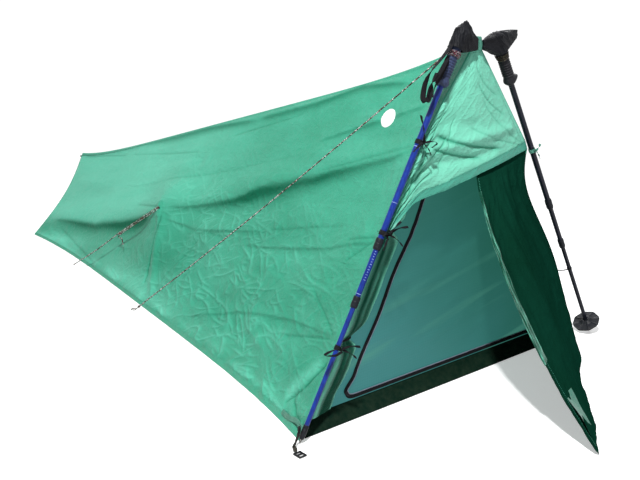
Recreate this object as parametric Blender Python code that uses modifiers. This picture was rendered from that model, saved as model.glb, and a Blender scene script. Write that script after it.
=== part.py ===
"""An ultralight A-frame tent, pitched on two telescopic trekking poles.

Run it with blender --background --python part.py, or from Blender's text editor.
All sizes are in metres. X runs to the right along the front, Y runs back to the
foot end, Z is up. The origin is on the ground at the middle of the front edge.
"""

import math

import bmesh
import bpy
import numpy as np
from mathutils import Matrix, Vector
from mathutils.bvhtree import BVHTree

# Sides of the tent, seen from the front
LEFT = -1
RIGHT = 1

# Shared clearance between pieces that touch
GAP = 0.0003
SEAM_GAP = 0.0004

# How the two poles stand
FOOT_SPAN = 1.349
TOP_SPACING = 0.137
APEX_SHIFT = -0.017
POLE_LENGTH = 1.25
POLE_LINE_Y = -0.0215
POLE_LEAN = -0.020

# Telescopic pole, distances are measured from the tip along the pole
UPPER_RADIUS = 0.009
MIDDLE_RADIUS = 0.008
LOWER_RADIUS = 0.007
TUBE_WALL = 0.0007
LOWER_LOCK_AT = 0.4222
UPPER_LOCK_AT = 0.5961
TUBE_OVERLAP = 0.120
COLLAR_LENGTH = 0.034
COLLAR_WALL = 0.0025
PLUG_LENGTH = 0.015
STUD_RADIUS = 0.003
STUD_LENGTH = 0.020
EXPANDER_LENGTH = 0.032
SLIT_WIDTH = 0.0012
TIP_LIFT = 0.0015
FERRULE_LENGTH = 0.055
FERRULE_RADIUS = 0.0084
POINT_RADIUS = 0.002
BASKET_RADIUS = 0.048
BASKET_AT = 0.054
BASKET_THICKNESS = 0.0030
BASKET_DEPTH = 0.010
BASKET_RIBS = 8
BASKET_RIB_HEIGHT = 0.0014
BASKET_SCALLOP = 0.045
TUBE_IN_TIP = 0.022
GRIP_SOCKET = 0.045

# Grip
GRIP_BOTTOM_AT = 1.0742
GRIP_RADIUS = 0.0160
GRIP_HEAD_RADIUS = 0.0190
GRIP_RIB_HEIGHT = 0.0014
GRIP_RIBS = 7
HAND_REST_RADIUS = 0.0200
LASHING_AT = 1.1640
LASHING_TURNS = 3.5
LASHING_PITCH = 0.0044
CORD_RADIUS = 0.0015

# Cloth boots over the grips' heads
BOOT_MOUTH_AT = 1.1865
BOOT_MOUTH_RADIUS = 0.0235
BOOT_HEAD_RADIUS = 0.0225
BOOT_PEAK_AT = 1.279
BOOT_BEAK_REACH = 0.1005
BOOT_BEAK_RISE = 0.0065
BOOT_CHIN_REACH = 0.0895
BOOT_CHIN_DROP = 0.0415
APEX_LOOP_WIDTH = 0.022
APEX_LOOP_DEPTH = 0.012
APEX_LOOP_HEIGHT = 0.040
APEX_LOOP_MIDDLE = 1.058

# Canopy
CLOTH = 0.0025
FRONT_Y = POLE_LINE_Y + 0.0115
TENT_LENGTH = 2.470
RIDGE_X = -0.016
RIDGE_FRONT_HEIGHT = 1.066
RIDGE_REAR_HEIGHT = 0.360
RIDGE_SAG = 0.048
RIDGE_SEAM_RADIUS = 0.002
HEM_FRONT_HALF = {LEFT: 0.672, RIGHT: 0.596}
HEM_REAR_HALF = {LEFT: 0.301, RIGHT: 0.269}
HEM_BOW = 0.055
REAR_SCOOP = 0.037
REAR_INSET = 0.004
SEAM_INSET = 0.010
SEAM_LEAVES_POLE_AT = 0.74
RIGHT_TIE_HEIGHT = 0.265
RIGHT_SCALLOP = 0.050
RIGHT_SCALLOP_LEAN = 1.9
SEAM_FADE = 0.35
LEAN_FADE = 0.30
SCOOP_FADE = 0.30
FOLD_MARGIN = 0.12
PULLOUT_SPREAD = 0.15
PULLOUT_BACK = 1.380
PULLOUT_HEIGHT = 0.310
PULLOUT_REACH = 0.040
PATCH_RADIUS = 0.030
PATCH_BACK = 0.265
PATCH_FRACTION = 0.850

# Front gable panel, doors and floor
BEAK_TAIL_HEIGHT = 0.470
BEAK_CORNER_HEIGHT = 0.715
BEAK_TOP_HEIGHT = 1.050
BEAK_BULGE = 0.030
DOOR_TIP = (-0.100, -0.600)
DOOR_TOP_X = -0.005
DOOR_TOP_HEIGHT = 0.672
DOOR_GAP = 0.004
DOOR_SEAM_INSET = 0.004
INNER_DOOR_BACK = 0.046
INNER_DOOR_CLOTH = 0.0015
INNER_DOOR_MARGIN = 0.0025
LIP_HEIGHT = 0.036
FLOOR_MARGIN = 0.004
FLOOR_SPREAD = 0.09
ZIP_INSET = 0.180
ZIP_WIDTH = 0.009
ZIP_THICKNESS = 0.0016
ZIP_TOP_HEIGHT = 0.690
ZIP_RIGHT_END = 0.420
ZIP_ABOVE_LIP = 0.008
SLIDER_X = 0.380
SLIDER_WIDTH = 0.012
SLIDER_DEPTH = 0.0026
SLIDER_HEIGHT = 0.010
SLIDER_GAP = 0.0009
PULL_LENGTH = 0.034
PULL_WIDTH = 0.005
PULL_THICKNESS = 0.0014
ROLL_RADIUS = 0.020
ROLL_CLEARANCE = 0.0010
ROLL_FLATNESS = 1.65
ROLL_BOTTOM_HEIGHT = 0.075
ROLL_TOP_HEIGHT = 0.640

# Straps, ribbons and guylines
RIBBON_WIDTH = 0.008
RIBBON = 0.0014
LOOP_WIDTH = 0.010
LOOP_LENGTH = 0.026
LOOP_HALF_GAP = 0.0022
WRIST_STRAP_WIDTH = 0.016
WRIST_STRAP = 0.0022
STRAP_WIDTH = 0.016
STRAP = 0.0018
GUY_RADIUS = 0.0014
STRAP_BACK = 0.140
STRAP_AT = 0.042
WEBBING_WIDTH = 0.018
WEBBING_DEPTH = 0.008
BUCKLE_X = -0.716
BUCKLE_Y = -0.075
BUCKLE_WIDTH = 0.024
BUCKLE_LENGTH = 0.028
BUCKLE_HEIGHT = 0.006
BUCKLE_SLOT = 0.0035

COLOURS = {
    "cloth": (0.05, 0.42, 0.29, 0.55, 0.0),
    "shade_cloth": (0.03, 0.25, 0.19, 0.6, 0.0),
    "net": (0.10, 0.34, 0.33, 0.8, 0.0),
    "floor": (0.02, 0.09, 0.07, 0.6, 0.0),
    "black_cloth": (0.015, 0.015, 0.018, 0.75, 0.0),
    "webbing": (0.02, 0.02, 0.022, 0.8, 0.0),
    "pale_webbing": (0.45, 0.68, 0.55, 0.7, 0.0),
    "white": (0.85, 0.87, 0.86, 0.5, 0.0),
    "blue_tube": (0.02, 0.05, 0.55, 0.25, 0.6),
    "black_plastic": (0.02, 0.02, 0.022, 0.4, 0.0),
    "grip": (0.03, 0.035, 0.05, 0.6, 0.0),
    "steel": (0.45, 0.44, 0.42, 0.35, 1.0),
    "cord": (0.45, 0.10, 0.10, 0.8, 0.0),
}


def clear_scene():
    for item in list(bpy.data.objects):
        bpy.data.objects.remove(item, do_unlink=True)


def collection(name):
    made = bpy.data.collections.new(name)
    bpy.context.scene.collection.children.link(made)
    return made


clear_scene()
TENT = collection("ultralight_tent")
CUTTERS = collection("cutters")


def material(kind):
    """The Principled material of one kind of stuff, made once."""
    found = bpy.data.materials.get(kind)
    if found:
        return found
    made = bpy.data.materials.new(kind)
    made.use_nodes = True
    shader = made.node_tree.nodes["Principled BSDF"]
    red, green, blue, rough, metal = COLOURS[kind]
    shader.inputs["Base Color"].default_value = (red, green, blue, 1.0)
    shader.inputs["Roughness"].default_value = rough
    shader.inputs["Metallic"].default_value = metal
    return made


def own_material(name, kind):
    """A material for one piece, copied from its kind."""
    made = material(kind).copy()
    made.name = name + "_" + kind
    return made


def add_object(name, data, kind, parent=None):
    item = bpy.data.objects.new(name, data)
    TENT.objects.link(item)
    data.materials.append(own_material(name, kind))
    if parent:
        item.parent = parent
    return item


def finish_mesh(name, bm, kind, parent=None):
    bmesh.ops.recalc_face_normals(bm, faces=bm.faces)
    mesh = bpy.data.meshes.new(name)
    bm.to_mesh(mesh)
    bm.free()
    return add_object(name, mesh, kind, parent)


def as_cutter(item):
    for owner in item.users_collection:
        owner.objects.unlink(item)
    CUTTERS.objects.link(item)
    item.hide_render = True
    item.display_type = "WIRE"
    return item


def boolean(item, tool, operation):
    step = item.modifiers.new(operation.lower(), "BOOLEAN")
    step.object = as_cutter(tool)
    step.operation = operation
    step.solver = "EXACT"


def turned(name, profile, kind, parent=None, steps=16, closed=True):
    """A turned piece: a profile of (radius, height), down its outer side, round local Z."""
    mesh = bpy.data.meshes.new(name)
    count = len(profile)
    last = count if closed else count - 1
    edges = [(i, (i + 1) % count) for i in range(last)]
    mesh.from_pydata([(radius, 0.0, height) for radius, height in profile], edges, [])
    item = add_object(name, mesh, kind, parent)
    screw = item.modifiers.new("turn", "SCREW")
    screw.steps = steps
    screw.render_steps = steps
    screw.use_merge_vertices = True
    screw.merge_threshold = 0.00001
    return item


def sheet(name, outer, inner, columns, rows, kind, parent=None):
    """Closed cloth: two grids of points, outer(u, v) and inner(u, v), joined round the rim.

    Both grids are cut along the same diagonals, so the cloth keeps its thickness where it twists.
    """
    bm = bmesh.new()
    grids = []
    for face in (outer, inner):
        grids.append([[bm.verts.new(face(u, v)) for v in rows] for u in columns])
    wide = len(columns)
    high = len(rows)
    for i in range(wide - 1):
        for j in range(high - 1):
            spots = ((i, j), (i + 1, j), (i + 1, j + 1), (i, j + 1))
            a, b, c, d = [grids[0][m][n].co for m, n in spots]
            order = (0, 1, 2, 3) if (a - c).length <= (b - d).length else (1, 2, 3, 0)
            for grid in grids:
                w, x, y, z = [grid[spots[k][0]][spots[k][1]] for k in order]
                for corners in ((w, x, y), (w, y, z)):
                    bm.faces.new(corners if grid is grids[0] else corners[::-1])
    rim = [(i, 0) for i in range(wide)] + [(wide - 1, j) for j in range(1, high)]
    rim += [(i, high - 1) for i in range(wide - 2, -1, -1)] + [(0, j) for j in range(high - 2, 0, -1)]
    for (a, b), (c, d) in zip(rim, rim[1:] + rim[:1]):
        bm.faces.new((grids[0][c][d], grids[0][a][b], grids[1][a][b], grids[1][c][d]))
    return finish_mesh(name, bm, kind, parent)


def plate(name, outline, thickness, kind, parent=None):
    """A flat outline of points, given depth toward the back."""
    bm = bmesh.new()
    face = bm.faces.new([bm.verts.new(point) for point in outline])
    grown = bmesh.ops.extrude_face_region(bm, geom=[face])
    moved = [part for part in grown["geom"] if isinstance(part, bmesh.types.BMVert)]
    bmesh.ops.translate(bm, verts=moved, vec=(0.0, thickness, 0.0))
    bmesh.ops.triangulate(bm, faces=[f for f in bm.faces if len(f.verts) > 4])
    return finish_mesh(name, bm, kind, parent)


def hull(name, points, kind, parent=None):
    """The tightest closed skin round a set of points."""
    bm = bmesh.new()
    for point in points:
        bm.verts.new(point)
    made = bmesh.ops.convex_hull(bm, input=bm.verts)
    spare = [part for part in made["geom_interior"] if isinstance(part, bmesh.types.BMVert)]
    bmesh.ops.delete(bm, geom=spare, context="VERTS")
    return finish_mesh(name, bm, kind, parent)


def ribbon(name, path, across, width, thickness, kind, parent=None):
    """A flat band along a path. across is the direction of its width, at each point or for all."""
    points = [Vector(point) for point in path]
    if not isinstance(across, list):
        across = [across] * len(points)
    bm = bmesh.new()
    rings = []
    for i, point in enumerate(points):
        ahead = points[min(i + 1, len(points) - 1)] - points[max(i - 1, 0)]
        side = Vector(across[i])
        side = (side - ahead * side.dot(ahead) / ahead.length_squared).normalized() * width / 2
        lift = ahead.cross(side).normalized() * thickness / 2
        ring = [point + side + lift, point - side + lift, point - side - lift, point + side - lift]
        rings.append([bm.verts.new(corner) for corner in ring])
    for one, two in zip(rings, rings[1:]):
        for k in range(4):
            bm.faces.new((one[k], one[(k + 1) % 4], two[(k + 1) % 4], two[k]))
    bm.faces.new(rings[0])
    bm.faces.new(rings[-1][::-1])
    return finish_mesh(name, bm, kind, parent)


def smooth_route(points, count):
    """Evenly spread points on a smooth curve through a route's own points."""
    knots = [Vector(point) for point in points]
    padded = [knots[0] * 2 - knots[1]] + knots + [knots[-1] * 2 - knots[-2]]
    fine = []
    for i in range(len(knots) - 1):
        a, b, c, d = padded[i:i + 4]
        for step in range(40):
            t = step / 40
            fine.append(0.5 * (2 * b + (c - a) * t + (2 * a - 5 * b + 4 * c - d) * t * t
                               + (3 * b - a - 3 * c + d) * t ** 3))
    fine.append(knots[-1])
    lengths = [0.0]
    for one, two in zip(fine, fine[1:]):
        lengths.append(lengths[-1] + (two - one).length)
    spread = []
    for wanted in np.linspace(0.0, lengths[-1], count):
        k = min(int(np.searchsorted(lengths, wanted)), len(fine) - 1)
        k = max(k, 1)
        part = (wanted - lengths[k - 1]) / max(lengths[k] - lengths[k - 1], 1e-9)
        spread.append(fine[k - 1].lerp(fine[k], part))
    return spread


def cord(name, points, radius, kind, parent=None, resolution=2):
    """A round cord: a poly curve with a bevel and filled ends."""
    curve = bpy.data.curves.new(name, "CURVE")
    curve.dimensions = "3D"
    curve.bevel_depth = radius
    curve.bevel_resolution = resolution
    curve.use_fill_caps = True
    curve.render_resolution_u = 0
    line = curve.splines.new("POLY")
    line.points.add(len(points) - 1)
    for spot, point in zip(line.points, points):
        spot.co = (*point, 1.0)
    return add_object(name, curve, kind, parent)


def smooth_step(value):
    value = min(max(value, 0.0), 1.0)
    return value * value * (3.0 - 2.0 * value)


# Pole frames


def pole_ends(side):
    """Where a pole's axis starts on the ground and where it ends."""
    foot = Vector((side * FOOT_SPAN / 2, POLE_LINE_Y, 0.0))
    top_x = APEX_SHIFT + side * TOP_SPACING / 2
    run = top_x - foot.x
    height = math.sqrt(POLE_LENGTH ** 2 - run ** 2 - POLE_LEAN ** 2)
    return foot, Vector((top_x, POLE_LINE_Y + POLE_LEAN, height))


def pole_frame(side):
    """A frame on the pole's tip: Z along the pole, Y toward the back of the tent."""
    foot, top = pole_ends(side)
    along = (top - foot).normalized()
    across = Vector((0.0, 1.0, 0.0)).cross(along).normalized()
    back = along.cross(across)
    frame = Matrix((across, back, along)).transposed().to_4x4()
    frame.translation = foot
    return frame


def on_pole(side, at, inward=0.0, back=0.0):
    """A world point beside a pole: distance from the tip, toward the middle, toward the back."""
    return pole_frame(side) @ Vector((-side * inward, back, at))


def pole_x(side, height):
    foot, top = pole_ends(side)
    return foot.x + (top.x - foot.x) * height / top.z


def lean_at(height):
    return POLE_LEAN * height / pole_ends(LEFT)[1].z


# Canopy surface


def ridge_height(back):
    u = min(max(back / TENT_LENGTH, 0.0), 1.0)
    straight = RIDGE_FRONT_HEIGHT + (RIDGE_REAR_HEIGHT - RIDGE_FRONT_HEIGHT) * u
    return straight - RIDGE_SAG * (1.0 - (2.0 * u - 1.0) ** 6) * (1.0 - 0.3 * u)


def hem_half(side, back):
    u = min(max(back / TENT_LENGTH, 0.0), 1.0)
    straight = HEM_FRONT_HALF[side] + (HEM_REAR_HALF[side] - HEM_FRONT_HALF[side]) * u
    return straight - HEM_BOW * (1.0 - (2.0 * u - 1.0) ** 4)


def seam_x(side, height):
    """Where the front seam of a side wall runs, beside its pole and then to the apex."""
    leave = SEAM_LEAVES_POLE_AT
    corner = pole_x(side, leave) - side * SEAM_INSET
    if height >= leave:
        return corner + (RIDGE_X - corner) * (height - leave) / (RIDGE_FRONT_HEIGHT - leave)
    if side == LEFT:
        return pole_x(side, height) + SEAM_INSET
    low = HEM_FRONT_HALF[RIGHT]
    line = low + (corner - low) * height / leave
    part = (height - RIGHT_TIE_HEIGHT) / (BEAK_CORNER_HEIGHT - RIGHT_TIE_HEIGHT)
    if part <= 0.0 or part >= 1.0:
        return line
    return line - RIGHT_SCALLOP * math.sin(math.pi * part ** RIGHT_SCALLOP_LEAN)


# Main tension folds of a side wall: from (back, height) to (back, height), width, rise
FOLDS = (
    ((1.38, 0.330), (0.03, 0.770), 0.045, 0.010),
    ((1.36, 0.290), (0.10, 0.690), 0.050, -0.012),
    ((1.42, 0.300), (2.42, 0.070), 0.045, 0.008),
    ((1.40, 0.250), (2.40, 0.030), 0.045, -0.010),
    ((2.44, 0.340), (1.30, 0.520), 0.030, -0.006),
    ((1.38, 0.310), (1.23, 0.060), 0.022, 0.010),
    ((1.30, 0.300), (0.40, 0.060), 0.060, -0.010),
    ((0.08, 0.520), (0.60, 0.060), 0.050, 0.010),
)


def off_line(spot, start, end):
    """How far a spot in a flat plan lies from the line between two others."""
    run = np.subtract(end, start)
    part = np.dot(np.subtract(spot, start), run) / np.dot(run, run)
    return np.linalg.norm(np.subtract(spot, np.add(start, run * min(max(part, 0.0), 1.0))))


def fold_rise(back, height):
    """How far the wall stands out from its plain surface, from its folds and its pull-out."""
    rise = 0.0
    for start, end, width, amount in FOLDS:
        rise += amount * math.exp(-(off_line((back, height), start, end) / width) ** 2)
    away = math.hypot(back - PULLOUT_BACK, height - PULLOUT_HEIGHT)
    return rise + PULLOUT_REACH * math.exp(-(away / PULLOUT_SPREAD) ** 2)


def wall_point(side, back, part, depth=0.0):
    """A side wall's outer face at a distance back and a part of its height, or below that face."""
    height = part * ridge_height(back)
    hem = side * hem_half(side, back)
    top = RIDGE_X + side * (RIDGE_SEAM_RADIUS + GAP)
    x = hem + (top - hem) * part
    front_height = part * ridge_height(0.0)
    front_hem = side * hem_half(side, 0.0)
    front_line = front_hem + (top - front_hem) * part
    meet = seam_x(side, front_height) + side * (RIDGE_SEAM_RADIUS + GAP) * smooth_step(part * 4 - 3)
    x += (meet - front_line) * math.exp(-back / SEAM_FADE)
    x -= side * REAR_SCOOP * math.sin(math.pi * part) * math.exp(-(TENT_LENGTH - back) / SCOOP_FADE)
    y = FRONT_Y + SEAM_GAP + back + lean_at(height) * math.exp(-back / LEAN_FADE)
    calm = smooth_step(back / FOLD_MARGIN) * smooth_step((TENT_LENGTH - back) / FOLD_MARGIN)
    calm *= smooth_step(part / 0.12) * smooth_step((1.0 - part) / 0.12)
    rise = fold_rise(back, height) * calm
    turn = part * math.pi / 2
    x += side * (rise * 0.85 - depth * math.cos(turn))
    z = height + rise * 0.5 - depth * math.sin(turn)
    return Vector((x, y, z))


REAR_Y = FRONT_Y + TENT_LENGTH
WALL_BACKS = [0.0, INNER_DOOR_BACK, 0.11, 0.19] + list(np.linspace(0.28, TENT_LENGTH - 0.10, 17))
WALL_BACKS += [TENT_LENGTH - REAR_INSET]
WALL_PARTS = list(np.linspace(0.0, 1.0, 13))


def make_wall(name, side):
    return sheet(name,
                 lambda back, part: wall_point(side, back, part),
                 lambda back, part: wall_point(side, back, part, CLOTH),
                 WALL_BACKS, WALL_PARTS, "cloth")


def skin_of(item):
    """A search tree over a finished piece, to seat its neighbours on."""
    bpy.context.view_layer.update()
    evaluated = item.evaluated_get(bpy.context.evaluated_depsgraph_get())
    mesh = evaluated.to_mesh()
    points = [item.matrix_world @ v.co for v in mesh.vertices]
    faces = [tuple(f.vertices) for f in mesh.polygons]
    tree = BVHTree.FromPolygons(points, faces)
    evaluated.to_mesh_clear()
    return tree


def inside_x(skins, side, y, height):
    """Where a side wall's inner face is, seen from the middle of the tent."""
    hit = skins[side].ray_cast(Vector((RIDGE_X, y, height)), Vector((side, 0.0, 0.0)))[0]
    return hit.x if hit else RIDGE_X


def make_rear_wall():
    """The upright foot end, which closes both side walls."""
    back = TENT_LENGTH - REAR_INSET
    left = [wall_point(LEFT, back, part) for part in WALL_PARTS]
    right = [wall_point(RIGHT, back, part) for part in WALL_PARTS]
    y = left[0].y + SEAM_GAP
    outline = [(p.x, y, p.z) for p in left] + [(p.x, y, p.z) for p in reversed(right)]
    return plate("rear_wall", outline, CLOTH, "cloth")


def make_ridge_seam():
    """The sewn ridge, a thin roll of cloth between the two side walls."""
    points = []
    for back in np.linspace(0.0, TENT_LENGTH - REAR_INSET, 26):
        height = ridge_height(back)
        y = FRONT_Y + SEAM_GAP + back + lean_at(height) * math.exp(-back / LEAN_FADE)
        points.append((RIDGE_X, y, height - RIDGE_SEAM_RADIUS / 2))
    return cord("ridge_seam", points, RIDGE_SEAM_RADIUS, "cloth", resolution=1)


# Folds of the gable panel, from (u, v) to (u, v), with their width and their rise
BEAK_FOLDS = (
    ((0.10, 0.38), (0.92, 0.26), 0.045, 0.009),
    ((0.12, 0.28), (0.72, 0.13), 0.040, -0.008),
    ((0.05, 0.62), (0.60, 0.42), 0.050, -0.006),
    ((0.02, 0.50), (0.40, 0.02), 0.050, 0.008),
)
# Lower edge of the gable panel, as (part of its width, rise above the straight line)
BEAK_HEM = ((0.0, 0.0), (0.10, 0.062), (0.23, 0.100), (0.42, 0.078), (0.65, 0.050), (1.0, 0.0))


def beak_point(u, v, depth=0.0):
    """The gable panel's front face, from the left seam to the right and from hem to apex."""
    left_z = BEAK_TAIL_HEIGHT + (BEAK_TOP_HEIGHT - BEAK_TAIL_HEIGHT) * v
    right_z = BEAK_CORNER_HEIGHT + (BEAK_TOP_HEIGHT - BEAK_CORNER_HEIGHT) * v
    left_x = seam_x(LEFT, left_z)
    right_x = seam_x(RIGHT, right_z)
    rise = np.interp(u, [p[0] for p in BEAK_HEM], [p[1] for p in BEAK_HEM])
    x = left_x + (right_x - left_x) * u
    z = left_z + (right_z - left_z) * u + rise * (1.0 - v) ** 1.5
    billow = math.sin(math.pi * u) ** 0.8 * (1.0 - v) ** 0.6
    calm = smooth_step(u * 12) * smooth_step((1.0 - u) * 12)
    gathers = 0.006 * math.sin(26.0 * u + 9.0 * v) * math.exp(-5.0 * u)
    folds = sum(amount * math.exp(-(off_line((u, v), start, end) / width) ** 2)
                for start, end, width, amount in BEAK_FOLDS)
    front = BEAK_BULGE * billow + (gathers + folds) * calm * smooth_step((1 - v) * 6)
    y = FRONT_Y - SEAM_GAP - CLOTH + lean_at(z) - front + depth
    return Vector((x, y, z))


def make_beak():
    columns = [0.0, 0.04, 0.09, 0.15, 0.22] + list(np.linspace(0.30, 1.0, 11))
    rows = list(np.linspace(0.0, 1.0, 13))
    return sheet("gable_panel", beak_point, lambda u, v: beak_point(u, v, CLOTH),
                 columns, rows, "cloth")


def door_seam(height):
    """The storm door's edge on the right front seam."""
    x = seam_x(RIGHT, height) - DOOR_SEAM_INSET
    return Vector((x, FRONT_Y - SEAM_GAP - CLOTH + lean_at(height), height))


def storm_door_point(u, v, depth=0.0):
    """The right storm door, from its seam to its free edge and from the ground to the top."""
    top_seam = BEAK_CORNER_HEIGHT - DOOR_GAP
    seam = door_seam(DOOR_GAP + (top_seam - DOOR_GAP) * v)
    top = Vector((DOOR_TOP_X, FRONT_Y - 0.034, DOOR_TOP_HEIGHT))
    tip = Vector((*DOOR_TIP, DOOR_GAP))
    free = tip.lerp(top, v)
    slack = math.sin(math.pi * v) ** 0.8
    free += Vector((-0.038, 0.032, 0.0)) * slack
    point = seam.lerp(free, u)
    hang = math.sin(math.pi * u) * math.sin(math.pi * v)
    point.y -= 0.035 * hang
    folds = 0.012 * math.sin(3.0 * math.pi * u + 2.2 * v) * smooth_step((1 - v) * 4) * smooth_step(u * 4)
    point.y -= folds * smooth_step((1 - u) * 5)
    point.z += 0.012 * math.sin(math.pi * u) * (1.0 - v) ** 3
    return point + Vector((0.5 * depth * u, depth * (1.0 - 0.15 * u), 0.0))


def make_storm_door():
    columns = [0.0, 0.05] + list(np.linspace(0.13, 1.0, 13))
    rows = list(np.linspace(0.0, 1.0, 14))
    return sheet("right_storm_door", storm_door_point, lambda u, v: storm_door_point(u, v, CLOTH),
                 columns, rows, "shade_cloth")


def roll_reach(height):
    """Half the thickness of the rolled door, drawn in at its ribbons."""
    part = (height - ROLL_BOTTOM_HEIGHT) / (ROLL_TOP_HEIGHT - ROLL_BOTTOM_HEIGHT)
    waist = 0.35 * math.exp(-((height - 0.250) / 0.03) ** 2)
    waist += 0.30 * math.exp(-((height - 0.545) / 0.03) ** 2)
    ends = 0.72 + 0.28 * smooth_step(part * 6) * smooth_step((1.0 - part) * 6)
    return ROLL_RADIUS * ends * (1.0 - waist)


def make_roll(skins):
    """The left storm door, gathered in a flat bundle with three long folds, against the wall."""
    bm = bmesh.new()
    rings = []
    for height in np.linspace(ROLL_BOTTOM_HEIGHT, ROLL_TOP_HEIGHT, 24):
        reach = roll_reach(height)
        middle_y = inner_door_y(height) - ROLL_RADIUS - ROLL_CLEARANCE
        spots = []
        for k in range(14):
            turn = 2.0 * math.pi * k / 14
            lobe = 1.0 + 0.13 * math.cos(3.0 * turn + 5.0 * height)
            spots.append((ROLL_FLATNESS * reach * lobe * math.cos(turn),
                          middle_y + 0.92 * reach * lobe * math.sin(turn)))
        shift = max(inside_x(skins, LEFT, y, height) - x for x, y in spots) + ROLL_CLEARANCE
        rings.append([bm.verts.new((x + shift, y, height)) for x, y in spots])
    for one, two in zip(rings, rings[1:]):
        for k in range(14):
            bm.faces.new((one[k], one[(k + 1) % 14], two[(k + 1) % 14], two[k]))
    bm.faces.new(rings[0][::-1])
    bm.faces.new(rings[-1])
    return finish_mesh("left_storm_door_roll", bm, "shade_cloth")


def inner_door_y(height):
    return FRONT_Y + INNER_DOOR_BACK + lean_at(height)


def make_inner_door(skins):
    """The inner door of netting, fitted between the two side walls above the floor's lip."""
    heights = list(np.linspace(LIP_HEIGHT + GAP, 1.0, 40))
    edges = {}
    for side in (LEFT, RIGHT):
        edges[side] = []
        for z in heights:
            y = inner_door_y(z)
            reach = [inside_x(skins, side, y + step, z) for step in (0.0, INNER_DOOR_CLOTH)]
            x = max(reach) if side == LEFT else min(reach)
            edges[side].append((x - side * INNER_DOOR_MARGIN, y, z))
    outline = edges[LEFT] + edges[RIGHT][::-1]
    return plate("inner_door", outline, INNER_DOOR_CLOTH, "net")


def zip_x(height):
    return pole_x(LEFT, height) + SEAM_INSET + ZIP_INSET


def make_zip():
    """The inner door's zip: up the left side and straight along the bottom."""
    low = LIP_HEIGHT + ZIP_ABOVE_LIP
    outer = [(zip_x(ZIP_TOP_HEIGHT), ZIP_TOP_HEIGHT), (zip_x(low), low), (ZIP_RIGHT_END, low)]
    inner = [(ZIP_RIGHT_END, low + ZIP_WIDTH), (zip_x(low) + 1.7 * ZIP_WIDTH, low + ZIP_WIDTH),
             (zip_x(ZIP_TOP_HEIGHT) + 1.2 * ZIP_WIDTH, ZIP_TOP_HEIGHT)]
    outline = []
    for x, z in outer + inner:
        outline.append((x, inner_door_y(z) - GAP - ZIP_THICKNESS, z))
    return plate("inner_door_zip", outline, ZIP_THICKNESS, "webbing")


def make_slider():
    """The zip's slider and its pull, which ride along the bottom of the inner door."""
    middle_z = LIP_HEIGHT + ZIP_ABOVE_LIP + ZIP_WIDTH / 2
    face_y = inner_door_y(middle_z) - GAP - ZIP_THICKNESS - SLIDER_GAP
    bm = bmesh.new()
    size = Matrix.Diagonal((SLIDER_WIDTH, SLIDER_DEPTH, SLIDER_HEIGHT, 1.0))
    spot = Matrix.Translation((SLIDER_X, face_y - SLIDER_DEPTH / 2, middle_z))
    bmesh.ops.create_cube(bm, size=1.0, matrix=spot @ size)
    body = finish_mesh("zip_slider", bm, "black_plastic")
    root_y = face_y - SLIDER_DEPTH / 2
    pull_y = face_y - SLIDER_DEPTH - PULL_THICKNESS / 2
    pull = ribbon("zip_pull_shape", [(SLIDER_X - SLIDER_WIDTH / 4, root_y, middle_z),
                                     (SLIDER_X - SLIDER_WIDTH, pull_y, middle_z),
                                     (SLIDER_X - PULL_LENGTH, pull_y, middle_z)],
                  (0, 0, 1), PULL_WIDTH, PULL_THICKNESS, "black_plastic")
    boolean(body, pull, "UNION")
    return body


def clear_x(skins, side, y, spread, heights, margin):
    """The widest x that stays inside a side wall near one distance back, less a margin."""
    reach = []
    for height in heights:
        for step in (-spread, 0.0, spread):
            spot = min(max(y + step, FRONT_Y + 0.002), REAR_Y - 0.008)
            reach.append(inside_x(skins, side, spot, height))
    widest = max(reach) if side == LEFT else min(reach)
    return widest - side * margin


def make_floor(skins):
    """A tub floor: a flat sheet with a lip turned up all round, inside the walls."""
    stations = [FRONT_Y + 0.0008, 0.06] + list(np.linspace(0.16, REAR_Y - 0.12, 11)) + [REAR_Y - 0.012]
    top_front = FRONT_Y + INNER_DOOR_BACK
    low = {}
    high = {}
    for side in (LEFT, RIGHT):
        low[side] = []
        high[side] = []
        for i, y in enumerate(stations):
            spread = 0.01 if i == 0 else FLOOR_SPREAD
            foot_x = clear_x(skins, side, y, spread, (0.002, 0.020), FLOOR_MARGIN)
            top_y = top_front if i == 0 else y
            top_x = clear_x(skins, side, top_y, spread, (0.030, LIP_HEIGHT), FLOOR_MARGIN)
            low[side].append(Vector((foot_x, y, 0.0)))
            high[side].append(Vector((top_x, top_y, LIP_HEIGHT)))
    bottom = low[LEFT] + low[RIGHT][::-1]
    top = high[LEFT] + high[RIGHT][::-1]
    count = len(bottom)

    def drawn_in(loop, reach, lift):
        """The loop moved in by reach from both of each corner's edges, and up by lift."""
        made = []
        for i, point in enumerate(loop):
            before = point - loop[i - 1]
            after = loop[(i + 1) % count] - point
            one = Vector((before.y, -before.x, 0.0)).normalized()
            two = Vector((after.y, -after.x, 0.0)).normalized()
            inward = (one + two) / (1.0 + one.dot(two))
            made.append(point + inward * reach + Vector((0.0, 0.0, lift)))
        return made

    bm = bmesh.new()
    loops = [bottom, top, drawn_in(top, CLOTH, 0.0), drawn_in(bottom, 2 * CLOTH, CLOTH)]
    made = [[bm.verts.new(point) for point in loop] for loop in loops]
    for k in range(count):
        n = (k + 1) % count
        for low_ring, high_ring in ((made[0], made[1]), (made[3], made[2])):
            bm.faces.new((low_ring[k], low_ring[n], high_ring[n]))
            bm.faces.new((low_ring[k], high_ring[n], high_ring[k]))
        bm.faces.new((made[1][k], made[1][n], made[2][n], made[2][k]))
    caps = [bm.faces.new(made[0]), bm.faces.new(made[-1][::-1])]
    bmesh.ops.triangulate(bm, faces=caps)
    return finish_mesh("floor_tub", bm, "floor")


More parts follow.
